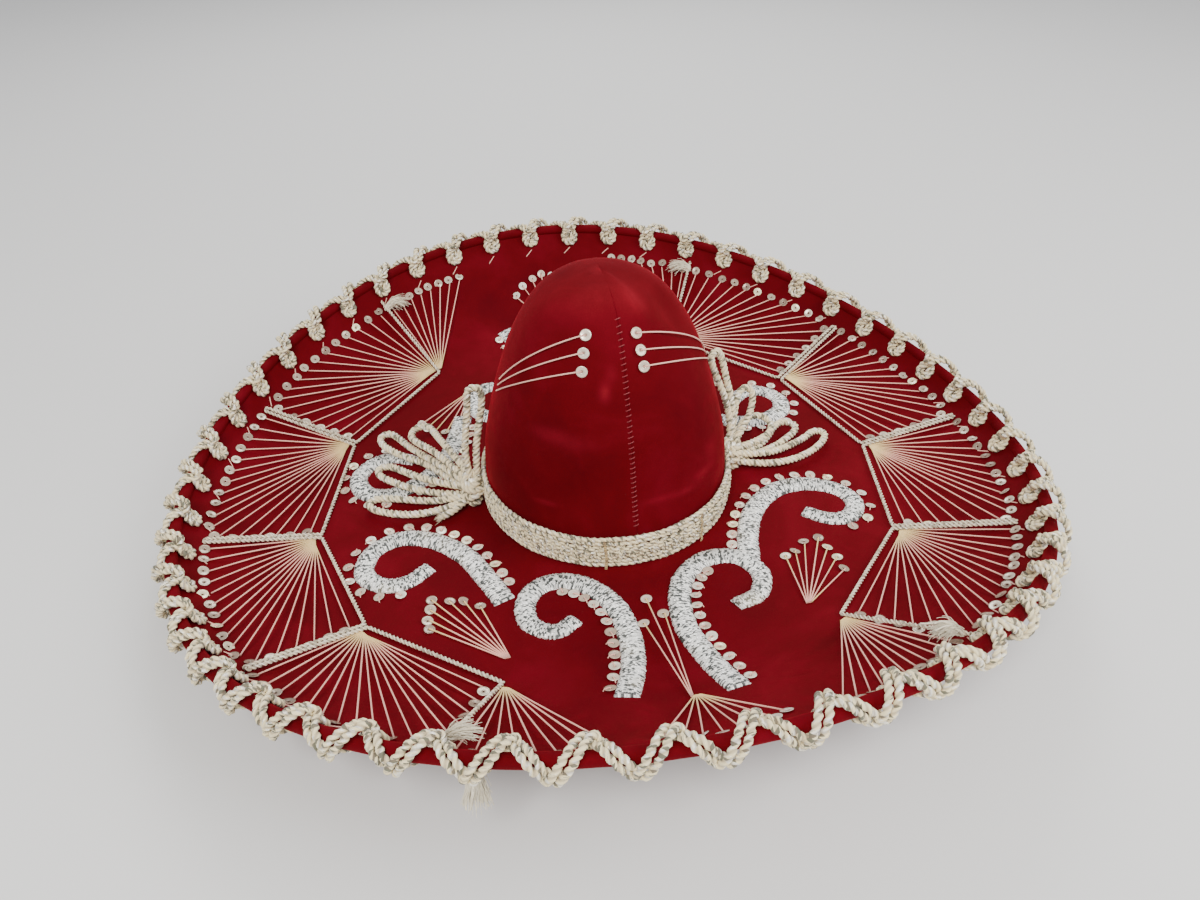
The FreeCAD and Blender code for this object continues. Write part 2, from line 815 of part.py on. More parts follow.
def on_rim(along, angle, lift):
    """A point that far in from the crest of the rim along its surface, lifted off it."""
    profile = rim_profile(angle)
    travelled = 0
    step = -1 if along > 0 else 1
    here = PROFILE_REACH // PROFILE_STEP + ROLL_STEPS // 2
    while True:
        place, normal = profile[here]
        ahead, ahead_normal = profile[here + step]
        span = place.distanceToPoint(ahead)
        if travelled + span >= abs(along):
            part = (abs(along) - travelled) / span
            mixed = (normal * (1 - part) + ahead_normal * part).normalize()
            return place + (ahead - place) * part + mixed * lift
        travelled += span
        here += step


def rim_lace():
    """Places of the whole rim cord laid flat: round the rim, in from the crest, lift."""
    loops = int(sizes.rim_loops)
    pitch = 2 * math.pi * brim_radius / loops
    places = []
    for loop in range(loops):
        stretch = 1 + LOOP_UNEVENNESS * math.sin(LOOP_RHYTHM * loop)
        for along, inward, lift in RIM_LACE:
            places.append(Vector(loop * pitch + along, inward * stretch, lift))
    return places


def strand_beside(places, side):
    """The same closed line of places, moved sideways by an even distance."""
    whole = Vector(2 * math.pi * brim_radius, 0, 0)
    before = [places[-1] - whole, *places[:-1]]
    after = [*places[1:], places[0] + whole]
    moved = []
    for last, place, ahead in zip(before, places, after):
        arriving = Vector(last.y - place.y, place.x - last.x, 0).normalize()
        leaving = Vector(place.y - ahead.y, ahead.x - place.x, 0).normalize()
        moved.append(place + (arriving + leaving) * (side / (1 + arriving.dot(leaving))))
    return moved


def add_rim_cord():
    """Two strands side by side, laced round the rim; every span is one loop and meets the next."""
    per_loop = len(RIM_LACE)
    degrees_per_mm = 180 / (math.pi * brim_radius)
    beside = STRAND_OFFSET * sizes.rim_cord
    for name, side in (("rim_cord_outer_strand", -beside), ("rim_cord_inner_strand", beside)):
        route = [on_rim(p.y, p.x * degrees_per_mm, p.z) for p in strand_beside(rim_lace(), side)]
        spans, total = [], 0
        for first in range(0, len(route), per_loop):
            corners = [route[(first + i) % len(route)] for i in range(per_loop + 2)]
            ends = ((corners[0] + corners[1]) / 2, (corners[-2] + corners[-1]) / 2)
            solid, length, smallest = tube([ends[0], *corners[1:-1], ends[1]], sizes.rim_cord)
            spans.append(solid)
            total += length
        print(f"{name}: {total:.0f} mm long, smallest radius {smallest:.1f} mm")
        sub_part(name, Part.Compound(spans))
    tacks = []
    first, last, slant, lift, thickness = LOOP_TIP + 1, LOOP_TIP + 6.5, 1.2, 0.5, 0.7
    for loop in range(int(sizes.rim_loops)):
        angle = 360 / sizes.rim_loops * loop
        tacks.append(straight(on_rim(first, angle, lift), on_rim(last, angle + slant, lift), thickness))
    sub_part("rim_cord_tacks", Part.Compound(tacks))


# ---------------------------------------------------------------- bows

# Each loop of cord from the knot and back to it: x, y and lift off the brim.
LEFT_BOW = (
    (
        (-93, 2, 16),
        (-95, 6, 31),
        (-93, 11, 46),
        (-90, 16, 59),
        (-88, 19, 70),
        (-87, 21, 80),
        (-79, 20, 80),
        (-79, 18, 70),
        (-82, 15, 58),
        (-86, 10, 45),
        (-88, 6, 32),
        (-89, 3, 18),
    ),
    (
        (-94, 5, 16),
        (-102, 18, 19),
        (-110, 33, 21),
        (-117, 47, 20),
        (-125, 59, 19),
        (-129, 71, 17),
        (-125, 80, 17),
        (-117, 80, 18),
        (-113, 70, 21),
        (-110, 56, 23),
        (-106, 41, 25),
        (-101, 27, 24),
        (-95, 12, 20),
    ),
    (
        (-96, 5, 9),
        (-106, 20, 9),
        (-114, 34, 9),
        (-123, 47, 9),
        (-134, 57, 9),
        (-144, 69, 9),
        (-152, 82, 9),
        (-151, 91, 9),
        (-143, 91, 10),
        (-137, 80, 10),
        (-130, 65, 11),
        (-122, 50, 13),
        (-113, 34, 15),
        (-104, 19, 15),
        (-96, 6, 14),
    ),
    (
        (-96, 2, 8),
        (-110, 7, 7),
        (-123, 14, 7),
        (-135, 22, 8),
        (-146, 32, 9),
        (-155, 43, 9),
        (-155, 51, 9),
        (-147, 52, 9),
        (-139, 42, 10),
        (-130, 29, 12),
        (-120, 18, 14),
        (-109, 9, 14),
        (-97, 3, 13),
    ),
    (
        (-96, -3, 7),
        (-109, -5, 5.5),
        (-122, -7, 5.5),
        (-136, -5, 5.5),
        (-149, 1, 5.5),
        (-161, 10, 5.5),
        (-165, 18, 5.5),
        (-158, 22, 5.5),
        (-146, 17, 5.5),
        (-133, 10, 5.5),
        (-120, 4, 6),
        (-108, 0, 8),
        (-97, -1, 9),
    ),
)
RIGHT_BOW = (
    (
        (91, -1, 16),
        (92, 4, 32),
        (90, 9, 46),
        (86, 14, 59),
        (82, 17, 70),
        (80, 18, 80),
        (87, 22, 81),
        (90, 21, 71),
        (92, 17, 58),
        (95, 12, 45),
        (95, 7, 32),
        (92, 1, 18),
    ),
    (
        (93, 0, 14),
        (96, 8, 26),
        (99, 15, 36),
        (103, 21, 44),
        (110, 25, 46),
        (115, 24, 40),
        (113, 18, 32),
        (107, 11, 24),
        (97, 3, 16),
    ),
    (
        (95, 2, 13),
        (102, 12, 15),
        (109, 22, 17),
        (118, 28, 18),
        (127, 26, 17),
        (130, 17, 16),
        (125, 8, 14),
        (115, 3, 13),
        (105, 0, 12),
        (95, -2, 12),
    ),
    (
        (95, -3, 7),
        (107, 0, 6),
        (118, 6, 6),
        (127, 14, 7),
        (135, 24, 8),
        (144, 30, 8),
        (152, 26, 8),
        (151, 18, 8),
        (142, 11, 7),
        (131, 4, 6),
        (119, -1, 6),
        (107, -5, 6),
        (95, -6, 7),
    ),
    (
        (94, -9, 6),
        (108, -15, 5.5),
        (123, -17, 5.5),
        (139, -14, 5.5),
        (155, -6, 5.5),
        (168, 5, 5.5),
        (173, 14, 6),
        (165, 18, 6),
        (154, 9, 6),
        (140, 1, 7),
        (126, -6, 8),
        (111, -10, 10),
        (97, -8, 11),
    ),
)
KNOTS = {"left": (-93, 1, 13), "right": (92, -4, 11)}
KNOT_HALF_SIZES = (7, 10, 11)
BOW_TAIL = ((-99, -3, 7), (-107, -10, 5), (-116, -13, 5))  # the cut end of the left bow's cord


def add_bows():
    """A knot on the band at each side, with its loops and, on the left, the cord's cut end."""
    for side, loops in (("left", LEFT_BOW), ("right", RIGHT_BOW)):
        for number, route in enumerate(loops, start=1):
            points = [above_brim(x, y, lift) for x, y, lift in route]
            add_cord(f"{side}_bow_loop_{number}", points, sizes.bow_cord)
        shape = Matrix()
        shape.scale(*KNOT_HALF_SIZES)
        knot = Part.makeSphere(1).transformGeometry(shape)
        x, y, lift = KNOTS[side]
        knot.translate(above_brim(x, y, lift))
        pieces = [knot]
        if side == "left":
            pieces.append(tube([above_brim(*place) for place in BOW_TAIL], sizes.bow_cord)[0])
        sub_part(f"{side}_bow_knot", Part.Compound(pieces))


HANGING_TUFT_ANGLE = -25
TUFT_STRANDS = 5
TUFT_STRAND_DIAMETER = 1.2


def add_tufts():
    """The frayed ends of the web cords: short strands like brushes, and one bundle hanging outside."""
    foot_in, foot_lift, foot_share = 2, 5, 0.3
    tip_in, tip_lift, tip_turn, spacing = 5, 12, 3, 1.3
    for place, angle, away in (("back", CORNER_ANGLES[0], 1), ("front", CORNER_ANGLES[-1], -1)):
        strands = []
        for _, sign in SIDES:
            for number in range(TUFT_STRANDS):
                spread = (number - (TUFT_STRANDS - 1) / 2) * spacing
                foot_angle = sign * angle + spread * foot_share
                tip_angle = sign * (angle + tip_turn * away) + spread
                foot = on_brim(sizes.spoke_end - foot_in, foot_angle, foot_lift)
                tip = on_brim(sizes.spoke_end - tip_in, tip_angle, tip_lift)
                strands.append(straight(foot, tip, TUFT_STRAND_DIAMETER))
        if place == "front":
            strands += hanging_strands()
        sub_part(f"{place}_web_cord_tufts", Part.Compound(strands))


def hanging_strands():
    """Strands that come out under the rim and hang outside it."""
    drop, spread, gap, degrees_apart = 22, 2.6, 2, 0.12
    below = brim_stack / 2 + sizes.rim_diameter / 2 + gap
    outward = brim_xyz(rim_end + spread, HANGING_TUFT_ANGLE) - brim_xyz(rim_end, HANGING_TUFT_ANGLE)
    strands = []
    for number in range(TUFT_STRANDS):
        shift = (number - (TUFT_STRANDS - 1) / 2) * spread
        foot = brim_xyz(rim_end, HANGING_TUFT_ANGLE + shift * degrees_apart, below)
        tip = foot + outward + Vector(shift, 0, -drop)
        strands.append(straight(foot, tip, TUFT_STRAND_DIAMETER))
    return strands


# ---------------------------------------------------------------- build and write


def build():
    blank = make_sequin_blank()
    add_brim()
    add_rim()
    add_crown()
    add_seams()
    add_sweatband()
    add_band()
    for side, sign in SIDES:
        add_cord(f"{side}_web_cord", web_route(sign), sizes.web_cord)
    add_fans(blank)
    add_small_fans(blank)
    add_crown_threads(blank)
    add_scrolls(blank)
    add_rim_cord()
    add_bows()
    add_tufts()
    doc.recompute()


def check_and_write():
    for item in doc.Objects:
        if "Invalid" in item.State or "Error" in item.State:
            raise ValueError(f"{item.Label} failed: {item.State}")
    os.makedirs("parts", exist_ok=True)
    for node in nodes:
        if node.Shape.isNull() or not node.Shape.isValid() or node.Shape.Volume <= 0:
            raise ValueError(f"{node.Label} has no valid shape")
        node.Shape.exportStep(f"parts/{node.Label}.step")
    print(len(nodes), "sub-parts written")


build()
check_and_write()
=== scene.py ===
"""The sombrero's looks: velvet, cords, threads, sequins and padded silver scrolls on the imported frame.

Lengths are in millimetres and angles in degrees until a mesh is made, which is in metres like the frame.
The front of the hat is toward -Y, angles run from the front, positive toward +X.
"""

import math

import bpy
import numpy as np
from mathutils import Matrix, Vector


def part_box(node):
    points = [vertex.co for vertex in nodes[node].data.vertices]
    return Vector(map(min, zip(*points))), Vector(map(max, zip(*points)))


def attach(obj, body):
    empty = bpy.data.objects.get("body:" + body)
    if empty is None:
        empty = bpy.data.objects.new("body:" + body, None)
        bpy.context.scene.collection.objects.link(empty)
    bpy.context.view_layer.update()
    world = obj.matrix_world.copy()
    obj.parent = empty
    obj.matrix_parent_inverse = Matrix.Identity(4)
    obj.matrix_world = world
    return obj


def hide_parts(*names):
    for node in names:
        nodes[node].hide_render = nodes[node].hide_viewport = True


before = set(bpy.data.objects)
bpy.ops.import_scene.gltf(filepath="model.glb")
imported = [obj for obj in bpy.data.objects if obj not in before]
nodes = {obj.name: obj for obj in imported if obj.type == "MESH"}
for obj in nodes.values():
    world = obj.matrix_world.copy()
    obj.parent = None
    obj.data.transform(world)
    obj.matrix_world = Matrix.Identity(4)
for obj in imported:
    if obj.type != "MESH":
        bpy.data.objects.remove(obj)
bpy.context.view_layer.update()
MM = 0.001
random = np.random.default_rng(7)


def low_high(node):
    """A node's box in millimetres."""
    low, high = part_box(node)
    return np.array(low) / MM, np.array(high) / MM


# ---------------------------------------------------------------- sizes, from the frame and the design

BRIM_RADIUS = 285.0  # toward the front; toward the sides it is longer by BRIM_ASPECT
BRIM_ASPECT = 1.018
DISH = (44.6, 150.0, 2.68)  # rise at the rim, radius where it starts, power of the curve
SADDLE = (29.2, 80.0, 1.96)  # the same for the front and back that rise as the sides sink
LIP_HEIGHT, LIP_WIDTH = 8.5, 23.0
BRIM_STACK = 4.2  # velvet, board and velvet together
VELVET = 1.0
RIM_ROLL = 4.0
RIM_END = BRIM_RADIUS - RIM_ROLL
FOOT = low_high("crown_velvet_left")[0][2]
CROWN_HEIGHT = low_high("crown_velvet_left")[1][2] - FOOT
CROWN_HALF_WIDTH, CROWN_HALF_DEPTH = 82.5, 86.0
# Rows up the crown: share of its height, half width and half depth as shares of those at the foot.
CROWN_OUTLINE = np.array((
    (0.0, 1.0, 1.0),
    (0.135, 1.0, 0.953),
    (0.276, 0.982, 0.895),
    (0.46, 0.903, 0.831),
    (0.644, 0.788, 0.727),
    (0.767, 0.691, 0.64),
    (0.871, 0.564, 0.541),
    (0.939, 0.43, 0.43),
    (0.982, 0.267, 0.267),
    (1.0, 0.109, 0.105),
))
CROWN_DENTS = ((58, 0.87, 6.5), (-52, 0.86, 2.5))  # angle, share of the height, depth
DENT_SPREAD = (22, 0.1)  # how wide a dent is, in degrees and in shares of the height


# ---------------------------------------------------------------- surfaces


def share(radius, start):
    """How far from a start radius to the rim, from 0 to 1."""
    return np.maximum(0.0, (radius - start) / (BRIM_RADIUS - start))


def velvet_height(radius, angle):
    """Height of the velvet's top: a dish, the saddle that bends it, and the lip at the rim."""
    dish = DISH[0] * share(radius, DISH[1]) ** DISH[2]
    saddle = SADDLE[0] * share(radius, SADDLE[1]) ** SADDLE[2]
    lip = LIP_HEIGHT * np.maximum(0.0, 1 - (BRIM_RADIUS - radius) / LIP_WIDTH) ** 2
    return FOOT + dish + saddle * np.cos(2 * np.radians(angle)) + lip


def brim_xyz(radius, angle, depth=0.0):
    """A place on the brim, that deep below the velvet's top."""
    radius, angle = np.broadcast_arrays(np.asarray(radius, float), np.asarray(angle, float))
    turn = np.radians(angle)
    x = radius * BRIM_ASPECT * np.sin(turn)
    y = -radius * np.cos(turn)
    return np.stack([x, y, velvet_height(radius, angle) - depth], axis=-1)


def unit(v):
    """Vectors of length one with the same directions."""
    return v / np.maximum(np.linalg.norm(v, axis=-1, keepdims=True), 1e-12)


def brim_normal(radius, angle):
    """The brim's upward normal."""
    outward = brim_xyz(radius + 0.5, angle) - brim_xyz(radius - 0.5, angle)
    around = brim_xyz(radius, angle + 0.5) - brim_xyz(radius, angle - 0.5)
    return unit(np.cross(outward, around))


def on_brim(radius, angle, lift=0.0):
    """A place lifted off the brim along its normal."""
    radius, angle = np.asarray(radius, float), np.asarray(angle, float)
    return brim_xyz(radius, angle) + brim_normal(radius, angle) * np.asarray(lift)[..., None]


def polar(x, y):
    """Radius and angle of a place on the plan of the brim."""
    across = np.asarray(x) / BRIM_ASPECT
    return np.hypot(across, y), np.degrees(np.arctan2(across, -np.asarray(y)))


def above_brim(x, y, lift):
    """A place on the plan, lifted off the brim."""
    radius, angle = polar(x, y)
    return on_brim(radius, angle, np.asarray(lift, float))


def outline_at(height_share):
    """Crown half width and half depth as shares, along a smooth curve through the outline's rows."""
    rows = CROWN_OUTLINE
    at = np.asarray(height_share, float)
    i = np.clip(np.searchsorted(rows[:, 0], at) - 1, 0, len(rows) - 2)
    low, high = rows[i], rows[i + 1]
    before, after = rows[np.maximum(i - 1, 0)], rows[np.minimum(i + 2, len(rows) - 1)]
    span = high[..., 0] - low[..., 0]
    part = (at - low[..., 0]) / span
    result = []
    for column in (1, 2):
        slope_low = (high[..., column] - before[..., column]) / (high[..., 0] - before[..., 0]) * span
        slope_high = (after[..., column] - low[..., column]) / (after[..., 0] - low[..., 0]) * span
        rise = high[..., column] - low[..., column]
        cubic = slope_low + slope_high - 2 * rise
        square = 3 * rise - 2 * slope_low - slope_high
        result.append(low[..., column] + part * (slope_low + part * (square + part * cubic)))
    return result


def crown_xyz(height_share, angle, inset=0.0):
    """A place on the crown, dents taken in, that deep under its outline."""
    height_share, angle = np.broadcast_arrays(np.asarray(height_share, float), np.asarray(angle, float))
    width, depth = outline_at(height_share)
    turn = np.radians(angle)
    dent = np.zeros_like(turn)
    for dent_angle, dent_height, dent_depth in CROWN_DENTS:
        round_it = (angle - dent_angle) / DENT_SPREAD[0]
        up_it = (height_share - dent_height) / DENT_SPREAD[1]
        dent = dent + dent_depth * np.exp(-(round_it**2) - up_it**2)
    half_width = width * CROWN_HALF_WIDTH - dent - inset
    half_depth = depth * CROWN_HALF_DEPTH - dent - inset
    height = FOOT + (CROWN_HEIGHT - inset) * height_share
    return np.stack([half_width * np.sin(turn), -half_depth * np.cos(turn), height], axis=-1)


def crown_normal(height_share, angle):
    """The crown's outward normal."""
    up = crown_xyz(np.asarray(height_share) + 0.01, angle) - crown_xyz(np.asarray(height_share) - 0.01, angle)
    around = crown_xyz(height_share, np.asarray(angle) + 1) - crown_xyz(height_share, np.asarray(angle) - 1)
    return unit(np.cross(around, up))


def crown_radius(angle, grow=0.0):
    """Radius on the brim's plan where the crown stands, grown by a margin."""
    turn = np.radians(angle)
    half_width = (CROWN_HALF_WIDTH + grow) / BRIM_ASPECT
    half_depth = CROWN_HALF_DEPTH + grow
    return 1 / np.hypot(np.sin(turn) / half_width, np.cos(turn) / half_depth)


# ---------------------------------------------------------------- meshes


def make_piece(name, verts, faces, material, replaced, attributes):
    """A mesh object in metres from points in millimetres, riding on the hat."""
    mesh = bpy.data.meshes.new(name)
    mesh.from_pydata((np.asarray(verts) * MM).tolist(), [], faces)
    mesh.validate()
    mesh.polygons.foreach_set("use_smooth", [True] * len(mesh.polygons))
    for key, values in attributes.items():
        layer = mesh.attributes.new(key, "FLOAT", "POINT")
        layer.data.foreach_set("value", np.asarray(values, np.float32))
    mesh.materials.append(material)
    piece = bpy.data.objects.new(name, mesh)
    bpy.context.scene.collection.objects.link(piece)
    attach(piece, "root")
    if replaced:
        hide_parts(*replaced)
    return piece


class Mesh:
    """Points, faces and per-point attributes, gathered from many parts into one piece."""

    def __init__(self):
        self.verts, self.faces, self.values, self.count = [], [], {}, 0

    def add(self, verts, faces, **values):
        """Adds one part, with a value for each point or one for all."""
        verts = np.asarray(verts, float).reshape(-1, 3)
        self.verts.append(verts)
        self.faces.append(np.asarray(faces) + self.count if isinstance(faces, np.ndarray) else
                          [tuple(i + self.count for i in face) for face in faces])
        for key, value in values.items():
            self.values.setdefault(key, []).append(np.broadcast_to(value, len(verts)).astype(float))
        self.count += len(verts)

    def piece(self, name, material, slot, replaced=()):
        """Makes the piece out of all the parts."""
        faces = [tuple(face) for group in self.faces
                 for face in (group.tolist() if isinstance(group, np.ndarray) else group)]
        values = {key: np.concatenate(parts) for key, parts in self.values.items()}
        return make_piece(name, np.concatenate(self.verts), faces, material, replaced, values)


def grid_faces(rows, columns, closed_rows=False, closed_columns=False):
    """Quads of a grid of rows by columns points."""
    i = np.arange(rows if closed_rows else rows - 1)[:, None]
    j = np.arange(columns if closed_columns else columns - 1)[None, :]
    i2, j2 = (i + 1) % rows, (j + 1) % columns
    corners = (i * columns + j, i * columns + j2, i2 * columns + j2, i2 * columns + j)
    quads = np.stack(np.broadcast_arrays(*corners), -1)
    return quads.reshape(-1, 4)


def carried_frames(path):
    """Two cross directions along a path, turning as little as they can."""
    tangent = unit(np.gradient(path, axis=0))
    side = np.zeros_like(path)
    first = np.array([0.0, 0.0, 1.0])
    if abs(tangent[0] @ first) > 0.95:
        first = np.array([1.0, 0.0, 0.0])
    now = unit(first - tangent[0] * (tangent[0] @ first))
    for i, t in enumerate(tangent):
        now = now - t * (t @ now)
        now = now / max(np.linalg.norm(now), 1e-12)
        side[i] = now
    return side, np.cross(tangent, side)


def lengths_along(path):
    """Distance from the first point to each point of a path."""
    return np.concatenate([[0], np.cumsum(np.linalg.norm(np.diff(path, axis=0), axis=1))])


def resampled(path, step):
    """The same path with points about step apart."""
    along = lengths_along(path)
    at = np.linspace(0, along[-1], max(2, int(round(along[-1] / step)) + 1))
    return np.stack([np.interp(at, along, path[:, k]) for k in range(3)], axis=1)


def add_rope(mesh, path, radius, plies=2, pitch=7.0, around=12, phase=0.0, lay=0.46, taper=None, fuzz=0.0):
    """A twisted cord: its section is a ring of plies that turns along the path; fuzz roughens it."""
    along = lengths_along(path)
    side, across = carried_frames(path)
    ply_out, ply_radius = lay * radius, (1 - lay) * radius * 1.06
    spin = np.arange(around) * 2 * math.pi / around
    from_ply = (spin + math.pi / plies) % (2 * math.pi / plies) - math.pi / plies
    reach = ply_out * np.cos(from_ply) + np.sqrt(
        np.maximum(ply_radius**2 - (ply_out * np.sin(from_ply)) ** 2, (0.35 * ply_radius) ** 2))
    twist = 2 * math.pi * along / pitch + phase
    angle = spin[None, :] + twist[:, None]
    size = np.ones(len(path)) if taper is None else taper
    ring = (np.cos(angle)[..., None] * side[:, None] + np.sin(angle)[..., None] * across[:, None])
    count = len(path)
    rough = 1 + fuzz * random.normal(size=(count, around))
    verts = path[:, None] + ring * (reach[None, :] * rough * size[:, None])[..., None]
    faces = [tuple(f) for f in grid_faces(count, around, closed_columns=True).tolist()]
    faces.append(tuple(range(around)))
    faces.append(tuple(range(count * around - 1, (count - 1) * around - 1, -1)))
    mesh.add(
        verts.reshape(-1, 3), faces,
        along=np.repeat(along, around), round=np.tile(spin, count), lot=random.random(),
        groove=np.tile((ply_out + ply_radius - reach) / radius, count))


def add_tube(mesh, path, radius, around=8, taper=None):
    """A plain round thread."""
    add_rope(mesh, path, radius, plies=1, pitch=1e9, around=around, lay=0.0, taper=taper)


def spline_points(route, resolution=16):
    """Points of a smooth NURBS spline with the route's points as its control points."""
    curve = bpy.data.curves.new("route", "CURVE")
    curve.dimensions = "3D"
    spline = curve.splines.new("NURBS")
    spline.points.add(len(route) - 1)
    for point, place in zip(spline.points, route):
        point.co = (*place, 1)
    spline.order_u = 3
    spline.use_endpoint_u = True
    spline.resolution_u = resolution
    holder = bpy.data.objects.new("route", curve)
    bpy.context.scene.collection.objects.link(holder)
    line = bpy.data.meshes.new_from_object(holder)
    points = np.array([v.co[:] for v in line.vertices], float)
    bpy.data.objects.remove(holder)
    bpy.data.curves.remove(curve)
    bpy.data.meshes.remove(line)
    return points


# ---------------------------------------------------------------- materials


class Nodes:
    """A short way to lay out a material's nodes."""

    def __init__(self, name):
        self.material = bpy.data.materials.new(name)
        self.material.use_nodes = True
        self.tree = self.material.node_tree
        self.shader = self.tree.nodes["Principled BSDF"]

    def node(self, kind, inputs=None, **settings):
        made = self.tree.nodes.new(kind)
        for key, value in settings.items():
            setattr(made, key, value)
        for key, value in (inputs or {}).items():
            self.put(made.inputs[key], value)
        return made

    def put(self, socket, value):
        """Links a socket to another, or sets its value."""
        if isinstance(value, bpy.types.NodeSocket):
            self.tree.links.new(value, socket)
        elif isinstance(value, bpy.types.Node):
            self.tree.links.new(value.outputs[0], socket)
        else:
            socket.default_value = value

    def set(self, **values):
        """Sets or links inputs of the surface shader by name."""
        by_name = {socket.name.lower().replace(" ", "_"): socket for socket in self.shader.inputs}
        for key, value in values.items():
            self.put(by_name[key], value)

    def place(self):
        return self.node("ShaderNodeTexCoord").outputs["Object"]

    def noise(self, scale, detail=2.0, rough=0.5, vector=None, distortion=0.0):
        made = self.node("ShaderNodeTexNoise", {
            "Vector": vector or self.place(), "Scale": scale, "Detail": detail,
            "Roughness": rough, "Distortion": distortion})
        return made.outputs["Fac"]

    def ramp(self, value, *stops):
        """A colour for each share of a value, smooth between the stops."""
        made = self.node("ShaderNodeValToRGB", {"Fac": value})
        ramp = made.color_ramp
        while len(ramp.elements) < len(stops):
            ramp.elements.new(0.5)
        for element, (at, color) in zip(ramp.elements, stops):
            element.position = at
            element.color = (*color, 1) if len(color) == 3 else color
        return made.outputs["Color"]

    def steps(self, value, low, high, to_low=0.0, to_high=1.0):
        """A value between low and high, mapped to another range and held there."""
        made = self.node("ShaderNodeMapRange", {
            "Value": value, "From Min": low, "From Max": high, "To Min": to_low, "To Max": to_high})
        return made.outputs["Result"]

    def mix(self, fac, a, b):
        made = self.node("ShaderNodeMix", data_type="RGBA")
        self.put(made.inputs[0], fac)
        self.put(made.inputs[6], (*a, 1) if isinstance(a, tuple) and len(a) == 3 else a)
        self.put(made.inputs[7], (*b, 1) if isinstance(b, tuple) and len(b) == 3 else b)
        return made.outputs[2]

    def math(self, operation, a, b=0.0):
        made = self.node("ShaderNodeMath", operation=operation)
        for socket, value in zip(made.inputs, (a, b)):
            self.put(socket, value)
        return made.outputs[0]

    def attribute(self, name):
        return self.node("ShaderNodeAttribute", attribute_name=name).outputs["Fac"]

    def vector(self, x, y, z):
        return self.node("ShaderNodeCombineXYZ", {"X": x, "Y": y, "Z": z}).outputs[0]

    def bump(self, height, strength, distance, under=None):
        inputs = {"Height": height, "Strength": strength, "Distance": distance}
        if under is not None:
            inputs["Normal"] = under
        return self.node("ShaderNodeBump", inputs).outputs[0]


def velvet_material(name, tint=1.0):
    """Deep crimson pile: lighter where the nap is brushed, where it shows wear and where highlights are
    painted on the crown, darker where it stands up.
    """
    n = Nodes(name)
    nap = n.noise(14, detail=4, rough=0.6, distortion=0.8)
    brushing = n.noise(42, detail=6, rough=0.65, distortion=1.4)
    pile = n.noise(2600, detail=1)
    worn = n.attribute("worn")
    deep, full, brushed = (0.080, 0.0012, 0.0034), (0.107, 0.0018, 0.0046), (0.152, 0.0035, 0.009)
    deep, full, brushed = (tuple(c * tint for c in color) for color in (deep, full, brushed))
    color = n.ramp(nap, (0.28, deep), (0.5, full), (0.8, brushed))
    color = n.mix(n.math("MULTIPLY", n.steps(brushing, 0.56, 0.74), 0.25), color, brushed)
    # Lighter velvet at places of wear and at painted highlights on the crown's ridges and folds.
    wear_and_highlight_mask = n.math("MULTIPLY", worn, n.steps(brushing, 0.3, 0.62, 0.55, 1.0))
    color = n.mix(wear_and_highlight_mask, color, (0.27, 0.010, 0.020))
    color = n.mix(n.steps(pile, 0.35, 0.65, 0.0, 0.3), color, tuple(c * 0.5 for c in full))
    normal = n.bump(pile, 0.3, 0.0004)
    normal = n.bump(brushing, 0.12, 0.002, normal)
    n.set(base_color=color, roughness=0.85, specular_ior_level=0.05, normal=normal,
          sheen_weight=n.steps(brushing, 0.3, 0.7, 0.1, 0.3), sheen_roughness=0.4,
          sheen_tint=(1.0, 0.02, 0.05, 1))
    return n.material


FLECK_LENGTH = 1.7  # of one dark or bright fleck along a cord
FLECK_LANES = 0.8  # flecks side by side, for each radian round a cord


def cord_material(name="cord", base=(1.0, 0.81, 0.49), fleck=(0.07, 0.075, 0.05), bright=(0.97, 0.95, 0.88),
                  amount=1.0):
    """Twisted cream cord with dull grey-green flecks, and metallic flecks whose near-white colour is partly a
    painted highlight.
    """
    n = Nodes(name)
    along, around, lot = n.attribute("along"), n.attribute("round"), n.attribute("lot")
    groove = n.attribute("groove")
    far = n.math("MULTIPLY", lot, 97.0)
    row = n.math("FLOOR", n.math("DIVIDE", along, FLECK_LENGTH))
    turned = n.math("ADD", around, n.math("MULTIPLY", row, 0.9))
    lane = n.math("FLOOR", n.math("MULTIPLY", turned, FLECK_LANES))
    chance = n.node("ShaderNodeTexWhiteNoise", {"Vector": n.vector(row, lane, n.math("FLOOR", far))},
                    noise_dimensions="3D").outputs["Value"]
    fibres = n.noise(2.2, detail=3, rough=0.6, vector=n.vector(
        n.math("ADD", n.math("MULTIPLY", along, 0.35), far), n.math("MULTIPLY", around, 6.0), far))
    dirt = n.noise(60, detail=3)
    darker, lighter = tuple(c * 0.8 for c in base), tuple(min(1, c * 1.1) for c in base)
    shade = n.mix(n.steps(fibres, 0.3, 0.7), darker, lighter)
    shade = n.mix(n.steps(dirt, 0.45, 0.75, 0.0, 0.3), shade, (0.62, 0.52, 0.34))
    flecks = n.math("LESS_THAN", chance, 0.2)
    shade = n.mix(n.math("MULTIPLY", flecks, 0.9 * amount), shade, fleck)
    # Metallic flecks; their near-white colour is partly a painted highlight.
    glints = n.math("GREATER_THAN", chance, 0.82)
    shade = n.mix(n.math("MULTIPLY", glints, 0.7 * amount), shade, bright)
    # Painted shade in the grooves between the plies.
    shade = n.mix(n.steps(groove, 0.1, 0.34, 0.0, 0.5), shade, (0.22, 0.15, 0.10))
    normal = n.bump(fibres, 0.5, 0.0004)
    n.set(base_color=shade, roughness=n.steps(glints, 0.0, 1.0, 0.78, 0.34), normal=normal,
          metallic=n.math("MULTIPLY", glints, 0.3 * amount), sheen_weight=0.2, sheen_roughness=0.5)
    return n.material


THREAD_PITCH = 1.4  # of one turn of a thread's plies


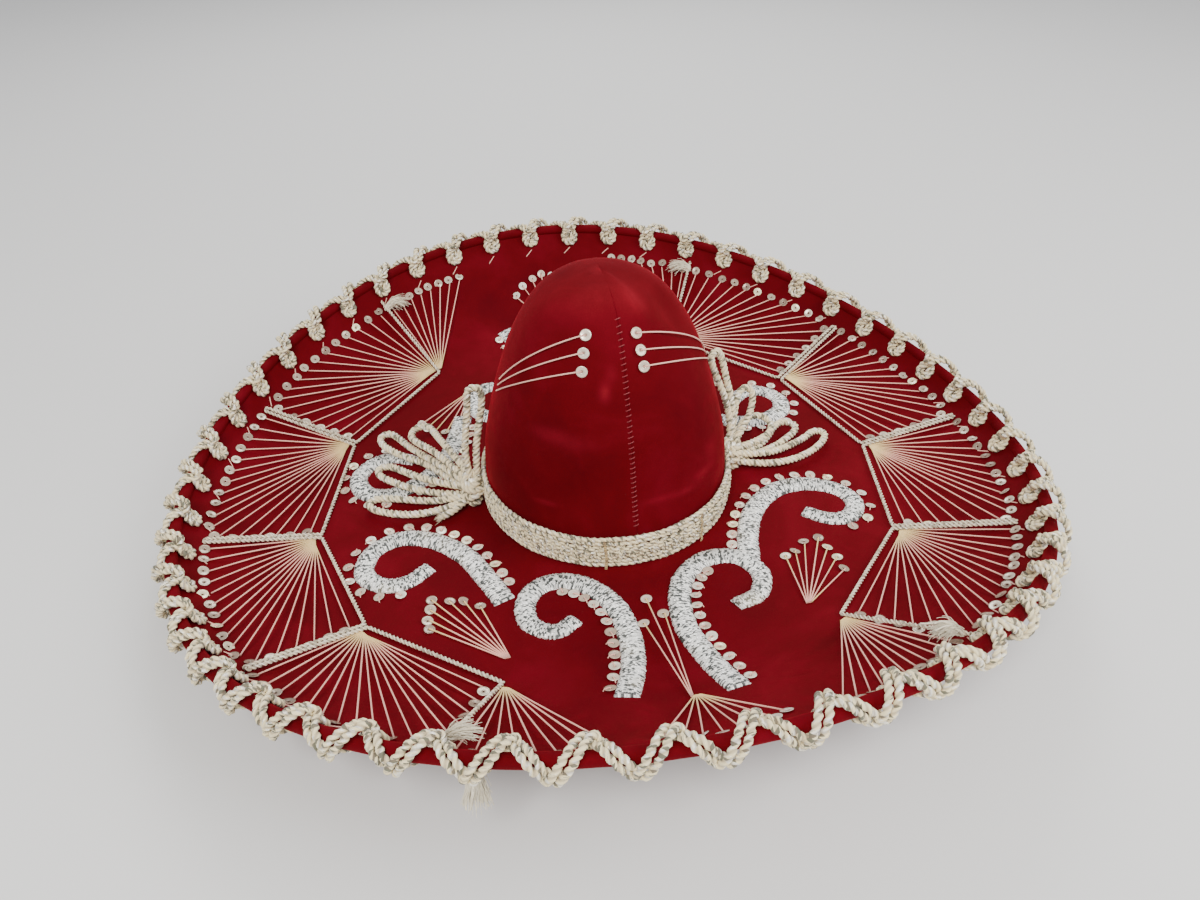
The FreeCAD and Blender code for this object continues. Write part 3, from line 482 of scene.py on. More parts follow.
def thread_material(name, color, shade, gathered=None):
    """Fine thread of two twisted plies; fan threads have yellowed where they are gathered."""
    n = Nodes(name)
    along, around = n.attribute("along"), n.attribute("round")
    wound = n.math("MULTIPLY", along, 2 * math.pi / THREAD_PITCH)
    turn = n.math("ADD", wound, n.math("MULTIPLY", around, 2.0))
    lay = n.math("ADD", n.math("MULTIPLY", n.math("SINE", turn), 0.5), 0.5)
    wear = n.noise(90, detail=3)
    # Painted shade: the grooves between the twisted plies take the darker shade colour.
    tone = n.mix(n.steps(lay, 0.1, 0.75), shade, color)
    tone = n.mix(n.steps(wear, 0.5, 0.75, 0.0, 0.3), tone, tuple(c * 0.8 for c in shade))
    if gathered:
        tone = n.mix(n.steps(along, 8, 22, 0.85, 0.0), tone, gathered)
    n.set(base_color=tone, roughness=0.55, normal=n.bump(lay, 0.6, 0.0002), sheen_weight=0.2)
    return n.material


def sequin_material(name, darkest, middle, lightest):
    """Pearly translucent film, each sequin a little duller or brighter, with the odd yellow one."""
    n = Nodes(name)
    lot, rim = n.attribute("lot"), n.attribute("rim")
    tone = n.ramp(lot, (0.0, darkest), (0.5, middle), (0.9, lightest), (0.96, (0.95, 0.88, 0.55)))
    smear = n.noise(240, detail=3)
    tone = n.mix(n.steps(smear, 0.4, 0.7, 0.0, 0.35), tone, (0.45, 0.26, 0.2))
    # Painted shade: darker toward the hole, in the cup of the sequin.
    tone = n.mix(n.steps(rim, 0.25, 0.75, 0.5, 0.0), tone, tuple(c * 0.55 for c in middle))
    n.set(base_color=tone, roughness=n.steps(smear, 0.3, 0.7, 0.14, 0.34), metallic=0.2, coat_weight=0.5,
          coat_roughness=0.1, normal=n.bump(smear, 0.12, 0.0003))
    n.shader.inputs["Thin Film Thickness"].default_value = 420
    n.shader.inputs["Thin Film IOR"].default_value = 1.45
    return n.material


STITCH_PITCH = 0.8  # of the silver stitches along a scroll
CHIP_LENGTH = 1.6  # of one glinting piece of a silver stitch


def silver_material():
    """Metallic thread laid side by side across a padded scroll: bright, dull and dark lengths mixed."""
    n = Nodes("silver_thread")
    along, around = n.attribute("along"), n.attribute("round")
    row = n.math("DIVIDE", along, STITCH_PITCH)
    which_row = n.math("FLOOR", row)
    shift = n.node("ShaderNodeTexWhiteNoise", {"W": which_row}, noise_dimensions="1D").outputs["Value"]
    chip = n.math("ADD", n.math("DIVIDE", around, CHIP_LENGTH), n.math("MULTIPLY", shift, 7.0))
    cell = n.vector(which_row, n.math("FLOOR", chip), 3.0)
    chance = n.node("ShaderNodeTexWhiteNoise", {"Vector": cell}, noise_dimensions="3D").outputs["Value"]
    fine = n.noise(1500, detail=2, rough=0.7)
    dull = n.noise(38, detail=3)
    # The bright and the near-black lengths are painted reflections of the metal thread.
    shade = n.ramp(
        chance, (0.0, (0.04, 0.045, 0.04)), (0.28, (0.09, 0.095, 0.09)), (0.36, (0.66, 0.66, 0.62)),
        (0.7, (0.95, 0.94, 0.89)), (1.0, (1.0, 1.0, 0.96)))
    shade = n.mix(n.steps(fine, 0.58, 0.7, 0.0, 0.5), shade, (0.2, 0.21, 0.19))
    shade = n.mix(n.steps(dull, 0.58, 0.78, 0.0, 0.35), shade, (0.72, 0.62, 0.40))
    hump = n.math("SINE", n.math("MULTIPLY", n.math("FRACT", chip), math.pi))
    n.set(base_color=shade, metallic=n.steps(chance, 0.25, 0.9, 0.1, 0.45),
          roughness=n.steps(fine, 0.3, 0.7, 0.3, 0.5),
          normal=n.bump(fine, 0.35, 0.0004, n.bump(hump, 0.5, 0.0005)))
    return n.material


def board_material():
    """Pressed brown fibreboard."""
    n = Nodes("pressed_board")
    fibre = n.noise(420, detail=5, rough=0.7)
    blotch = n.noise(25, detail=3)
    tone = n.ramp(fibre, (0.3, (0.24, 0.17, 0.10)), (0.6, (0.42, 0.32, 0.20)), (0.8, (0.52, 0.42, 0.28)))
    tone = n.mix(n.steps(blotch, 0.5, 0.8, 0.0, 0.3), tone, (0.2, 0.14, 0.09))
    n.set(base_color=tone, roughness=0.9, normal=n.bump(fibre, 0.3, 0.0006))
    return n.material


def wire_material():
    """Drawn steel wire with spots of rust."""
    n = Nodes("edge_wire")
    drawn = n.noise(900, detail=2)
    rust = n.noise(60, detail=5)
    tone = n.mix(n.steps(rust, 0.6, 0.75, 0.0, 0.7), (0.52, 0.52, 0.53), (0.22, 0.09, 0.04))
    n.set(base_color=tone, metallic=0.9, roughness=n.steps(drawn, 0.3, 0.7, 0.3, 0.5),
          normal=n.bump(drawn, 0.1, 0.0002))
    return n.material


def lining_material():
    """Thin dark satin with a fine plain weave and the marks of wear."""
    n = Nodes("crown_lining_cloth")
    place = n.place()
    yarns = {"Vector": place, "Scale": 520.0, "Distortion": 1.0}
    warp, weft = (n.node("ShaderNodeTexWave", yarns, bands_direction=way).outputs["Fac"] for way in "ZX")
    weave = n.math("MULTIPLY", warp, weft)
    wear = n.noise(22, detail=5, rough=0.6)
    tone = n.ramp(
        wear, (0.3, (0.045, 0.006, 0.009)), (0.6, (0.09, 0.012, 0.016)), (0.85, (0.15, 0.04, 0.035)))
    tone = n.mix(n.math("MULTIPLY", weave, 0.3), tone, (0.2, 0.05, 0.05))
    n.set(base_color=tone, roughness=0.55, sheen_weight=0.3, normal=n.bump(weave, 0.3, 0.0003))
    return n.material


def leather_material():
    """Thin brown leather, darker and glossier where a head has rubbed it."""
    n = Nodes("sweatband_leather")
    grain = n.node("ShaderNodeTexVoronoi", {"Vector": n.place(), "Scale": 900.0}).outputs["Distance"]
    wear = n.noise(30, detail=4)
    tone = n.ramp(wear, (0.3, (0.075, 0.03, 0.016)), (0.55, (0.15, 0.066, 0.034)), (0.8, (0.23, 0.12, 0.065)))
    n.set(base_color=tone, roughness=n.steps(wear, 0.3, 0.7, 0.38, 0.62), normal=n.bump(grain, 0.35, 0.0004))
    return n.material


RED = velvet_material("velvet")
# The underside's velvet is a darker copy of the same velvet: painted shade.
SHADED_UNDERSIDE_RED = velvet_material("velvet_under", 0.85)
CORD = cord_material()
BOW = cord_material("bow_cord", base=(0.98, 0.80, 0.50), amount=0.95)
WEB = cord_material("web_cord", base=(0.94, 0.79, 0.57), amount=0.7)
TUFT = cord_material("tuft_fibres", base=(0.82, 0.74, 0.56), amount=0.2)
THREAD = thread_material("pale_thread", (1.0, 0.57, 0.45), (0.86, 0.41, 0.31))
FAN_THREAD = thread_material("fan_thread", (1.0, 0.53, 0.41), (0.86, 0.38, 0.28), gathered=(0.80, 0.60, 0.22))
RED_THREAD = thread_material("red_thread", (0.34, 0.02, 0.03), (0.13, 0.004, 0.008))
TIE = thread_material("tie_thread", (0.56, 0.42, 0.20), (0.30, 0.20, 0.08))
FAN_SEQUIN = sequin_material("fan_sequin_film", (0.22, 0.15, 0.11), (0.46, 0.36, 0.27), (0.70, 0.62, 0.48))
SEQUIN = sequin_material("sequin_film", (0.50, 0.38, 0.28), (0.78, 0.66, 0.52), (0.93, 0.89, 0.76))
SILVER = silver_material()


# ---------------------------------------------------------------- brim

ROUND = 360


def closed_layer(name, outer, inner, rows, material, slot, replaced):
    """A thin closed skin round the hat between two grids, with its inner and outer edges turned over."""
    angles = np.arange(ROUND) * 360 / ROUND
    grid = np.concatenate([
        np.stack([outer(row, angles) for row in rows]),
        np.stack([inner(row, angles) for row in rows[::-1]])])
    faces = grid_faces(len(grid), ROUND, closed_rows=True, closed_columns=True)
    mesh = Mesh()
    mesh.add(grid.reshape(-1, 3), faces)
    return mesh.piece(name, material, slot, replaced)


def brim_layer(depth, grow, ripple=0.0):
    """A function that gives one ring of a brim layer, from the crown outward as row goes from 0 to 1."""
    def at(row, angles):
        start = crown_radius(angles, grow)
        radius = start + (RIM_END - start) * row
        return brim_xyz(radius, angles, depth) + soft_ripple(radius, angles, ripple)
    return at


def soft_ripple(radius, angles, size):
    """Small hand-made unevenness of the cloth."""
    turn = np.radians(angles)
    wave = (np.sin(5 * turn + 0.03 * radius) + np.sin(13 * turn - 0.021 * radius + 1.7)
            + np.sin(29 * turn + 0.055 * radius + 0.6) * 0.6)
    lift = np.zeros((*np.shape(angles), 3))
    lift[..., 2] = size * wave
    return lift


BOARD_EASE = 0.05  # left between the board and the velvet on each side
UNDER_CROWN = -3.1  # how far the board and the under velvet reach in under the crown's foot


def add_brim():
    """Velvet, board and velvet, from under the crown to the edge wire."""
    rows = np.linspace(0, 1, 64) ** 0.9
    closed_layer("velvet_brim_top", brim_layer(0, 0.2, 0.06), brim_layer(VELVET, 0.2), rows, RED, "velvet",
                 ("brim_velvet_top",))
    board_low = BRIM_STACK - VELVET - BOARD_EASE
    closed_layer("pressed_board_of_brim", brim_layer(VELVET + BOARD_EASE, UNDER_CROWN),
                 brim_layer(board_low, UNDER_CROWN), rows, board_material(), "stiff_board", ("brim_board",))
    closed_layer("velvet_brim_under", brim_layer(BRIM_STACK - VELVET, UNDER_CROWN),
                 brim_layer(BRIM_STACK, UNDER_CROWN), rows, SHADED_UNDERSIDE_RED, "velvet", ("brim_velvet_under",))


def rim_centre(angles):
    """The middle of the edge wire."""
    return brim_xyz(RIM_END, angles, BRIM_STACK / 2)


def add_rim_roll():
    """Velvet rolled over the edge wire, pulled in a little under every loop of cord."""
    angles = np.arange(ROUND * 2) * 180 / ROUND
    centre = rim_centre(angles)
    turn = np.radians(angles)
    outward = np.stack([np.sin(turn), -np.cos(turn), np.zeros_like(turn)], -1)
    up = np.array([0.0, 0.0, 1.0])
    pulled_in, around = 0.05, 28
    squeeze = 1 - pulled_in * (0.5 + 0.5 * np.cos(np.radians(angles * RIM_LOOPS)))
    spin = np.arange(around) * 2 * math.pi / around
    ring = np.cos(spin)[None, :, None] * outward[:, None] + np.sin(spin)[None, :, None] * up
    verts = centre[:, None] + ring * (RIM_ROLL * squeeze)[:, None, None]
    mesh = Mesh()
    mesh.add(verts.reshape(-1, 3), grid_faces(len(angles), around, True, True))
    mesh.piece("velvet_rim_roll", RED, "velvet", ("rim_velvet_roll",))


# ---------------------------------------------------------------- rim cord

RIM_LOOPS = 50
RIM_CORD = 3.2
STRAND_OFFSET = 0.5  # of a strand's diameter, from the middle of the pair
# One loop: distance round the rim, distance in from the rim's crest along its surface, and lift.
RIM_LACE = (
    (-16.3, -4.5, 5.4), (-8, 1, 5.2), (0.8, 8, 6.0), (4.7, 14, 3.4), (2.7, 19.2, 1.9), (-2.7, 19.2, 1.9),
    (-4.7, 14, 1.9), (-0.8, 8, 1.9), (5, 2.5, 1.9), (11, -2, 2.3), (17.5, -7, 2.4), (22.5, -12, 2.2),
    (21, -17.5, 1.9), (15, -17.5, 1.9), (13.5, -11.5, 3.8))
LOOP_UNEVENNESS, LOOP_RHYTHM = 0.04, 2.4
STRAND_SWELL = 1.26  # the strands are pressed together, so they are fatter than half the cord
RIM_LENGTH = 2 * math.pi * BRIM_RADIUS


PROFILE_REACH, PROFILE_STEP = 36.0, 1.5  # how far in from the rim a section goes, and its steps


def rim_profiles(count):
    """Sections of the rim at even angles: points, normals and distances along each from its crest."""
    angles = np.arange(count) * 360 / count
    turn = np.radians(angles)
    outward = np.stack([BRIM_ASPECT * np.sin(turn), -np.cos(turn), np.zeros_like(turn)], -1)
    places, normals = [], []
    flat = np.arange(PROFILE_STEP, PROFILE_REACH + PROFILE_STEP, PROFILE_STEP)
    for inward in flat[::-1]:
        places.append(brim_xyz(RIM_END - inward, angles))
        normals.append(brim_normal(np.full(count, RIM_END - inward), angles))
    top = brim_normal(np.full(count, RIM_END - 1.0), angles)
    start = np.arctan2(top[:, 2], (top * outward).sum(1))
    steps = 16
    for step in range(steps + 1):
        at = start - math.pi * step / steps
        normal = outward * np.cos(at)[:, None] + np.array([0, 0, 1.0]) * np.sin(at)[:, None]
        places.append(rim_centre(angles) + normal * RIM_ROLL)
        normals.append(normal)
    for inward in flat[:-1]:
        places.append(brim_xyz(RIM_END - inward, angles, BRIM_STACK))
        normals.append(-brim_normal(np.full(count, RIM_END - inward), angles))
    places, normals = np.stack(places, 1), np.stack(normals, 1)
    spans = np.linalg.norm(np.diff(places, axis=1), axis=2)
    run = np.concatenate([np.zeros((count, 1)), np.cumsum(spans, axis=1)], axis=1)
    crest = len(flat) + steps // 2
    return places, normals, run[:, crest:crest + 1] - run


PROFILE_COUNT = 720
RIM_PROFILES = rim_profiles(PROFILE_COUNT)


def on_rim(along, angle, lift):
    """Points that far in from the crest of the rim along its surface, lifted off it."""
    places, normals, run = RIM_PROFILES
    result = []
    for far, at, up in zip(along, angle, lift):
        index = (at % 360) * PROFILE_COUNT / 360
        low = int(index) % PROFILE_COUNT
        part = index - int(index)
        mixed = []
        for i in (low, (low + 1) % PROFILE_COUNT):
            where = [np.interp(-far, -run[i], places[i, :, k]) for k in range(3)]
            facing = unit(np.array([np.interp(-far, -run[i], normals[i, :, k]) for k in range(3)]))
            mixed.append(np.array(where) + facing * up)
        result.append(mixed[0] * (1 - part) + mixed[1] * part)
    return np.array(result)


def rim_lace():
    """Places of the whole rim cord laid flat: round the rim, in from the crest, lift."""
    lace, loop = np.array(RIM_LACE), np.arange(RIM_LOOPS)
    along = loop[:, None] * RIM_LENGTH / RIM_LOOPS + lace[:, 0]
    inward = lace[:, 1] * (1 + LOOP_UNEVENNESS * np.sin(LOOP_RHYTHM * loop))[:, None]
    return np.stack([along, inward, np.broadcast_to(lace[:, 2], along.shape)], -1).reshape(-1, 3)


def neighbours(places):
    """The place before and the place after each one of a line that closes on itself round the rim."""
    whole = np.array([RIM_LENGTH, 0, 0])
    return np.vstack([places[-1:] - whole, places[:-1]]), np.vstack([places[1:], places[:1] + whole])


def strand_beside(places, side):
    """The same line, moved sideways by an even distance."""
    before, after = neighbours(places)
    arriving, leaving = (unit(np.stack([a[:, 1] - b[:, 1], b[:, 0] - a[:, 0]], -1))
                         for a, b in ((before, places), (places, after)))
    moved = places.copy()
    moved[:, :2] += (arriving + leaving) * (side / (1 + (arriving * leaving).sum(-1)))[:, None]
    return moved


def rounded(places, samples=8):
    """A smooth line that bends at each place and passes through the middle of every run."""
    before, after = neighbours(places)
    first, last = (before + places) / 2, (places + after) / 2
    t = (np.arange(samples) / samples)[None, :, None]
    line = first[:, None] * (1 - t) ** 2 + 2 * places[:, None] * t * (1 - t) + last[:, None] * t**2
    line = line.reshape(-1, 3)
    return np.vstack([line, line[:1] + [RIM_LENGTH, 0, 0]])


def add_rim_cord():
    """Two fuzzy twisted strands side by side, laced over the rolled rim."""
    for name, side, node in (("rim_cord_strand_a", -1, "rim_cord_outer_strand"),
                             ("rim_cord_strand_b", 1, "rim_cord_inner_strand")):
        line = rounded(strand_beside(rim_lace(), side * STRAND_OFFSET * RIM_CORD))
        path = on_rim(line[:, 1], line[:, 0] * 360 / RIM_LENGTH, line[:, 2])
        mesh = Mesh()
        add_rope(mesh, resampled(path, 0.75), RIM_CORD / 2 * STRAND_SWELL, plies=2, pitch=8.5, around=14,
                 phase=side, lay=0.36, fuzz=0.055)
        mesh.piece(name, CORD, "cord", (node,))


# ---------------------------------------------------------------- crown

# Places of wear, brushed nap and painted highlights where light catches the crown's top and folds: angle,
# share of the height, half width, half height, strength.
WEAR_AND_HIGHLIGHT_PLACES = (
    (22, 0.955, 13, 0.04, 0.5),
    (-28, 0.95, 30, 0.05, 0.25),
    (10, 0.985, 40, 0.03, 0.15),
    (-70, 0.93, 25, 0.05, 0.2),
    (-12, 0.69, 3.0, 0.03, 0.8),
    (-8, 0.75, 3.5, 0.03, 0.35),
    (-40, 0.52, 9, 0.025, 0.45),
    (-28, 0.50, 12, 0.03, 0.25),
    (12, 0.245, 8, 0.012, 0.4),
    (26, 0.235, 8, 0.014, 0.45),
    (38, 0.265, 7, 0.018, 0.5),
    (47, 0.33, 5, 0.05, 0.3),
    (-40, 0.24, 6, 0.01, 0.45),
    (-85, 0.6, 12, 0.3, 0.3),
)
# Soft folds of the velvet: angle, share of the height, half width, half height, how far out.
FOLDS = (
    (20, 0.93, 9, 0.06, 1.6),
    (-22, 0.93, 16, 0.05, 0.8),
    (32, 0.25, 14, 0.03, 0.6),
    (44, 0.6, 12, 0.16, 0.7),
)


SEAM_DEPTH, SEAM_WIDTH = 0.45, 1.8
SEAM_STEP = 0.02  # between the ladder stitches, as a share of the crown's height
PUCKER_DEPTH, PUCKER_WIDTH = 0.108, 5.0  # of the velvet between two stitches
SAG_DEPTH = 0.3


def spots(rows, height_share, angle):
    """The sum of soft round places on the crown."""
    total = np.zeros_like(angle)
    for at_angle, at_height, half_angle, half_height, size in rows:
        total = total + size * np.exp(-(((angle - at_angle) / half_angle) ** 2)
                                      - ((height_share - at_height) / half_height) ** 2)
    return total


def add_crown():
    """Two velvet gores that meet in a slightly puckered seam, front and back."""
    heights = np.concatenate([np.linspace(0, 0.9, 90), np.linspace(0.908, 1.0, 20)])
    columns = 150
    for side, first, node in (("right", 0.0, "crown_velvet_right"), ("left", 180.0, "crown_velvet_left")):
        angles = first + np.linspace(0, 180, columns)
        from_seam = np.minimum(np.abs(angles - first), np.abs(angles - first - 180))
        grid_a, grid_h = np.meshgrid((angles + 180) % 360 - 180, heights)
        seam = np.exp(-((from_seam / SEAM_WIDTH) ** 2))[None, :]
        near_seam = np.exp(-((from_seam / PUCKER_WIDTH) ** 2))[None, :]
        pucker = PUCKER_DEPTH * np.sin(grid_h * 2 * math.pi / SEAM_STEP) * near_seam
        turn = np.radians(grid_a)
        sag = 0.5 * np.sin(grid_h * 9 + turn * 3) + 0.35 * np.sin(grid_h * 21 - turn * 5)
        calm = np.minimum(1, grid_h * 4) * np.clip((1 - grid_h) * 12, 0, 1)
        inset = (SEAM_DEPTH * seam + pucker + SAG_DEPTH * np.maximum(sag, 0)) * calm
        inset = inset - spots(FOLDS, grid_h, grid_a)
        outer = crown_xyz(grid_h, grid_a, inset)
        inner = crown_xyz(grid_h, grid_a, VELVET)
        mesh = Mesh()
        ring = np.concatenate([outer, inner[:, ::-1]], axis=1)
        # Places of wear and painted highlights, shown lighter in the velvet.
        worn = spots(WEAR_AND_HIGHLIGHT_PLACES, grid_h, grid_a)
        worn = np.concatenate([worn, np.zeros_like(worn)], axis=1)
        count = ring.shape[1]
        faces = [tuple(f) for f in grid_faces(len(heights), count, closed_columns=True).tolist()]
        faces += [(i, count - 1 - i, count - 2 - i, i + 1) for i in range(columns - 1)]
        top = (len(heights) - 1) * count
        outer_top = [top + i for i in range(columns)]
        inner_top = [top + count - 1 - i for i in range(columns)]
        peak = len(heights) * count
        peaks = [[0, 0, outer[-1, 0, 2] + 0.3], [0, 0, inner[-1, 0, 2]]]
        verts = np.concatenate([ring.reshape(-1, 3), peaks])
        faces += [(outer_top[i], outer_top[i + 1], peak) for i in range(columns - 1)]
        faces += [(inner_top[i + 1], inner_top[i], peak + 1) for i in range(columns - 1)]
        faces.append((outer_top[0], peak, peak + 1, inner_top[0]))
        faces.append((peak, outer_top[-1], inner_top[-1], peak + 1))
        mesh.add(verts, faces, worn=np.concatenate([worn.reshape(-1), [0.3, 0]]))
        mesh.piece(f"velvet_gore_{side}", RED, "velvet", (node,))


# ---------------------------------------------------------------- loose solids of a CAD node


def islands(node):
    """Points of each separate solid of a CAD node, in millimetres."""
    mesh = nodes[node].data
    points = np.zeros(len(mesh.vertices) * 3, np.float32)
    mesh.vertices.foreach_get("co", points)
    points = points.reshape(-1, 3).astype(float)
    keys = {}
    same = np.array([keys.setdefault(tuple(k), len(keys)) for k in np.round(points / 2e-6).astype(int)])
    parent = list(range(len(keys)))

    def root(i):
        while parent[i] != i:
            parent[i] = parent[parent[i]]
            i = parent[i]
        return i

    for polygon in mesh.polygons:
        first = root(same[polygon.vertices[0]])
        for vertex in polygon.vertices[1:]:
            parent[root(same[vertex])] = first
    groups = {}
    for i, key in enumerate(same):
        groups.setdefault(root(key), []).append(i)
    return [points[g] / MM for g in groups.values()]


def ends_of(points):
    """The two end points of a straight thread's solid, the lower radius first."""
    centre = points.mean(0)
    axis = np.linalg.svd(points - centre)[2][0]
    far = (points - centre) @ axis
    ends = [centre + axis * far.min(), centre + axis * far.max()]
    return sorted(ends, key=lambda p: math.hypot(p[0], p[1]))


def disc_of(points):
    """Centre and upward normal of a sequin's solid."""
    centre = points.mean(0)
    normal = np.linalg.svd(points - centre)[2][2]
    return centre, normal if normal[2] > 0 else -normal


# ---------------------------------------------------------------- threads and sequins


def add_thread(mesh, first, last, radius=0.42, bow=0.15):
    """A taut thread, hardly bowed, that dives into the cloth at its ends."""
    count = 14
    at = np.linspace(0, 1, count)[:, None]
    path = first + (last - first) * at
    drift = unit(random.normal(size=3)) * bow * np.linalg.norm(last - first) / 60
    path = path + np.sin(math.pi * at) * drift
    add_tube(mesh, path, radius * random.uniform(0.92, 1.08), around=8)


def add_sequin(mesh, centre, normal, tilt=9.0):
    """A thin cupped disc with a small hole, lying a little askew."""
    radius, hole, thick = 3.5, 0.6, 0.22
    lean = random.normal(size=3) * math.radians(tilt)
    normal = unit(np.asarray(normal) + np.cross(lean, normal))
    side = unit(np.cross(normal, [0.3, 0.9, 0.1]))
    across = np.cross(normal, side)
    around = 22
    spin = np.arange(around) * 2 * math.pi / around
    ring = np.cos(spin)[:, None] * side + np.sin(spin)[:, None] * across
    profile = [(hole, 0.0), (radius * 0.45, 0.05), (radius * 0.8, 0.16), (radius, 0.34)]
    profile += [(r, h + thick) for r, h in profile[::-1]]
    verts = np.stack([centre + ring * r + normal * h for r, h in profile])
    out = np.repeat([r / radius for r, _ in profile], around)
    mesh.add(verts.reshape(-1, 3), grid_faces(len(profile), around, True, True), lot=random.random(), rim=out)


def add_stitch(mesh, centre, normal, toward=None):
    """The short thread that comes up through a sequin's hole and over its edge."""
    toward = unit(np.cross(normal, random.normal(size=3))) if toward is None else unit(toward)
    toward = unit(toward - normal * (toward @ normal))
    reach = 3.9
    outward_and_up = ((0, -0.3), (0, 0.75), (1.6, 0.85), (reach * 0.85, 0.75), (reach + 0.3, -0.6))
    path = np.array([centre + normal * up + toward * out for out, up in outward_and_up])
    add_tube(mesh, resampled(path, 0.8), 0.3, around=6)


THREADED = (
    "left_fan", "right_fan", "left_small_fan", "right_small_fan", "front_hourglass", "back_hourglass",
)


def add_fans():
    """Fans and hourglasses of taut threads, each with its loosely lying sequins."""
    for name in THREADED:
        threads, sequins = Mesh(), Mesh()
        for solid in islands(f"{name}_threads"):
            inner, outer = ends_of(solid)
            add_thread(threads, inner, outer)
        for solid in islands(f"{name}_sequins"):
            centre, normal = disc_of(solid)
            shift = random.normal(size=3) * 0.5
            add_sequin(sequins, centre + shift - normal * (shift @ normal), normal)
        threads.piece(f"{name}_stitched_threads", FAN_THREAD, "thread", (f"{name}_threads",))
        film = FAN_SEQUIN if name.endswith("_fan") else SEQUIN
        sequins.piece(f"{name}_film_sequins", film, "sequin", (f"{name}_sequins",))


def add_scroll_sequins():
    """Sequins along the scrolls, each sewn down with one stitch."""
    for side in ("left", "right"):
        sequins, stitches = Mesh(), Mesh()
        for solid in islands(f"{side}_scroll_sequins"):
            centre, normal = disc_of(solid)
            add_sequin(sequins, centre, normal, tilt=6)
            add_stitch(stitches, centre, normal)
        sequins.piece(f"{side}_scroll_film_sequins", SEQUIN, "sequin", (f"{side}_scroll_sequins",))
        stitches.piece(f"{side}_scroll_sequin_stitches", THREAD, "thread")


CROWN_SEQUINS = {"left": (-25, 0.875, 0.82, 0.76), "right": (12, 0.87, 0.815, 0.76)}
CROWN_GATHER = {"left": (-88, 0.575), "right": (88, 0.575)}


def on_crown(height_share, angle, lift):
    """A place lifted off the crown along its normal."""
    return crown_xyz(height_share, angle) + crown_normal(height_share, angle) * np.asarray(lift)[..., None]


def crown_reach(point):
    """How far out a point is: 1 on the crown's outline, less inside it."""
    width, depth = outline_at((point[2] - FOOT) / CROWN_HEIGHT)
    return math.hypot(point[0] / (width * CROWN_HALF_WIDTH), point[1] / (depth * CROWN_HALF_DEPTH))


def pulled_taut(first, last, outward, runs, lift):
    """A thread pulled tight over the crown: the straight line, pushed out to the velvet."""
    places = []
    for part in np.linspace(0, 1, runs + 1):
        place = first + (last - first) * part
        near, far = 0.0, CROWN_HALF_WIDTH
        for _ in range(20):
            middle = (near + far) / 2
            if crown_reach(place + outward * middle) < 1:
                near = middle
            else:
                far = middle
        places.append(place + outward * (near + lift))
    return np.array(places)


def add_crown_threads():
    """Three taut threads a side, from beside the front seam to the side of the crown."""
    spread, lift = 0.025, 0.75
    for side, (angle, *heights) in CROWN_SEQUINS.items():
        gather_angle, gather_height = CROWN_GATHER[side]
        threads, sequins = Mesh(), Mesh()
        for row, height in enumerate(heights):
            normal = crown_normal(height, angle)
            last = crown_xyz(gather_height + spread * (1 - row), gather_angle)
            outward = unit(normal + crown_normal(gather_height, gather_angle))
            path = pulled_taut(crown_xyz(height, angle), last, outward, 28, lift)
            add_tube(threads, path, 0.45, around=8)
            place = on_crown(height, angle, 0.6)
            add_sequin(sequins, place, normal, tilt=5)
            add_stitch(threads, place, normal, path[3] - path[0])
        threads.piece(f"crown_side_threads_{side}", THREAD, "thread", (f"crown_threads_{side}",))
        sequins.piece(f"crown_film_sequins_{side}", SEQUIN, "sequin", (f"crown_sequins_{side}",))


def add_seams():
    """Ladder stitches that pull the two gores together, front and back."""
    mesh = Mesh()
    for angle in (0, 180):
        for height in np.arange(0.16, 0.93, SEAM_STEP):
            middle = on_crown(height, angle, 0.05)
            half = 1.5 + random.uniform(-0.25, 0.25)
            at = np.linspace(-1, 1, 9)[:, None]
            arch = crown_normal(height, angle) * (0.45 * (1 - at**2) - 0.3)
            slant = np.array([0, 0, 0.5]) * at
            add_tube(mesh, middle + np.array([half, 0, 0]) * at + arch + slant, 0.3, around=6)
    mesh.piece("crown_ladder_stitches", RED_THREAD, "red_thread", ("crown_seam_stitches",))


# ---------------------------------------------------------------- silver scrolls

SCROLLS = {
    "front_left_inner_scroll": (
        (-38, -200), (-28, -176), (-23, -150), (-25, -120), (-40, -97), (-60, -91), (-75, -102), (-77, -122),
        (-64, -134), (-49, -127)),
    "front_left_outer_scroll": (
        (-88, -100), (-96, -76), (-106, -52), (-124, -31), (-146, -21), (-165, -28), (-171, -47), (-160, -62),
        (-144, -64), (-129, -55)),
    "front_right_inner_scroll": (
        (20, -212), (14, -180), (11, -146), (20, -113), (40, -96), (61, -99), (70, -117), (62, -135),
        (45, -141)),
    "front_right_outer_scroll": (
        (68, -104), (76, -80), (90, -56), (112, -40), (136, -38), (155, -48), (160, -64), (150, -77),
        (135, -77), (121, -66)),
}
BACK_MIRROR = 8
SCROLL_WIDTH, SCROLL_HEIGHT = 14.5, 3.2
SCROLL_TIP = 2.5  # length over which the padding falls off at a scroll's ends


def through(points, step):
    """A smooth line through points on the brim's plan, with even steps (Catmull-Rom)."""
    points = np.array(points, float)
    padded = np.concatenate([[2 * points[0] - points[1]], points, [2 * points[-1] - points[-2]]])
    line = []
    for a, b, c, d in zip(padded, padded[1:], padded[2:], padded[3:]):
        for t in np.linspace(0, 1, 24, endpoint=False):
            line.append(0.5 * (2 * b + (c - a) * t + (2 * a - 5 * b + 4 * c - d) * t**2
                               + (3 * b - a - 3 * c + d) * t**3))
    line = np.array([*line, points[-1]])
    line = np.concatenate([line, np.zeros((len(line), 1))], axis=1)
    return resampled(line, step)[:, :2]


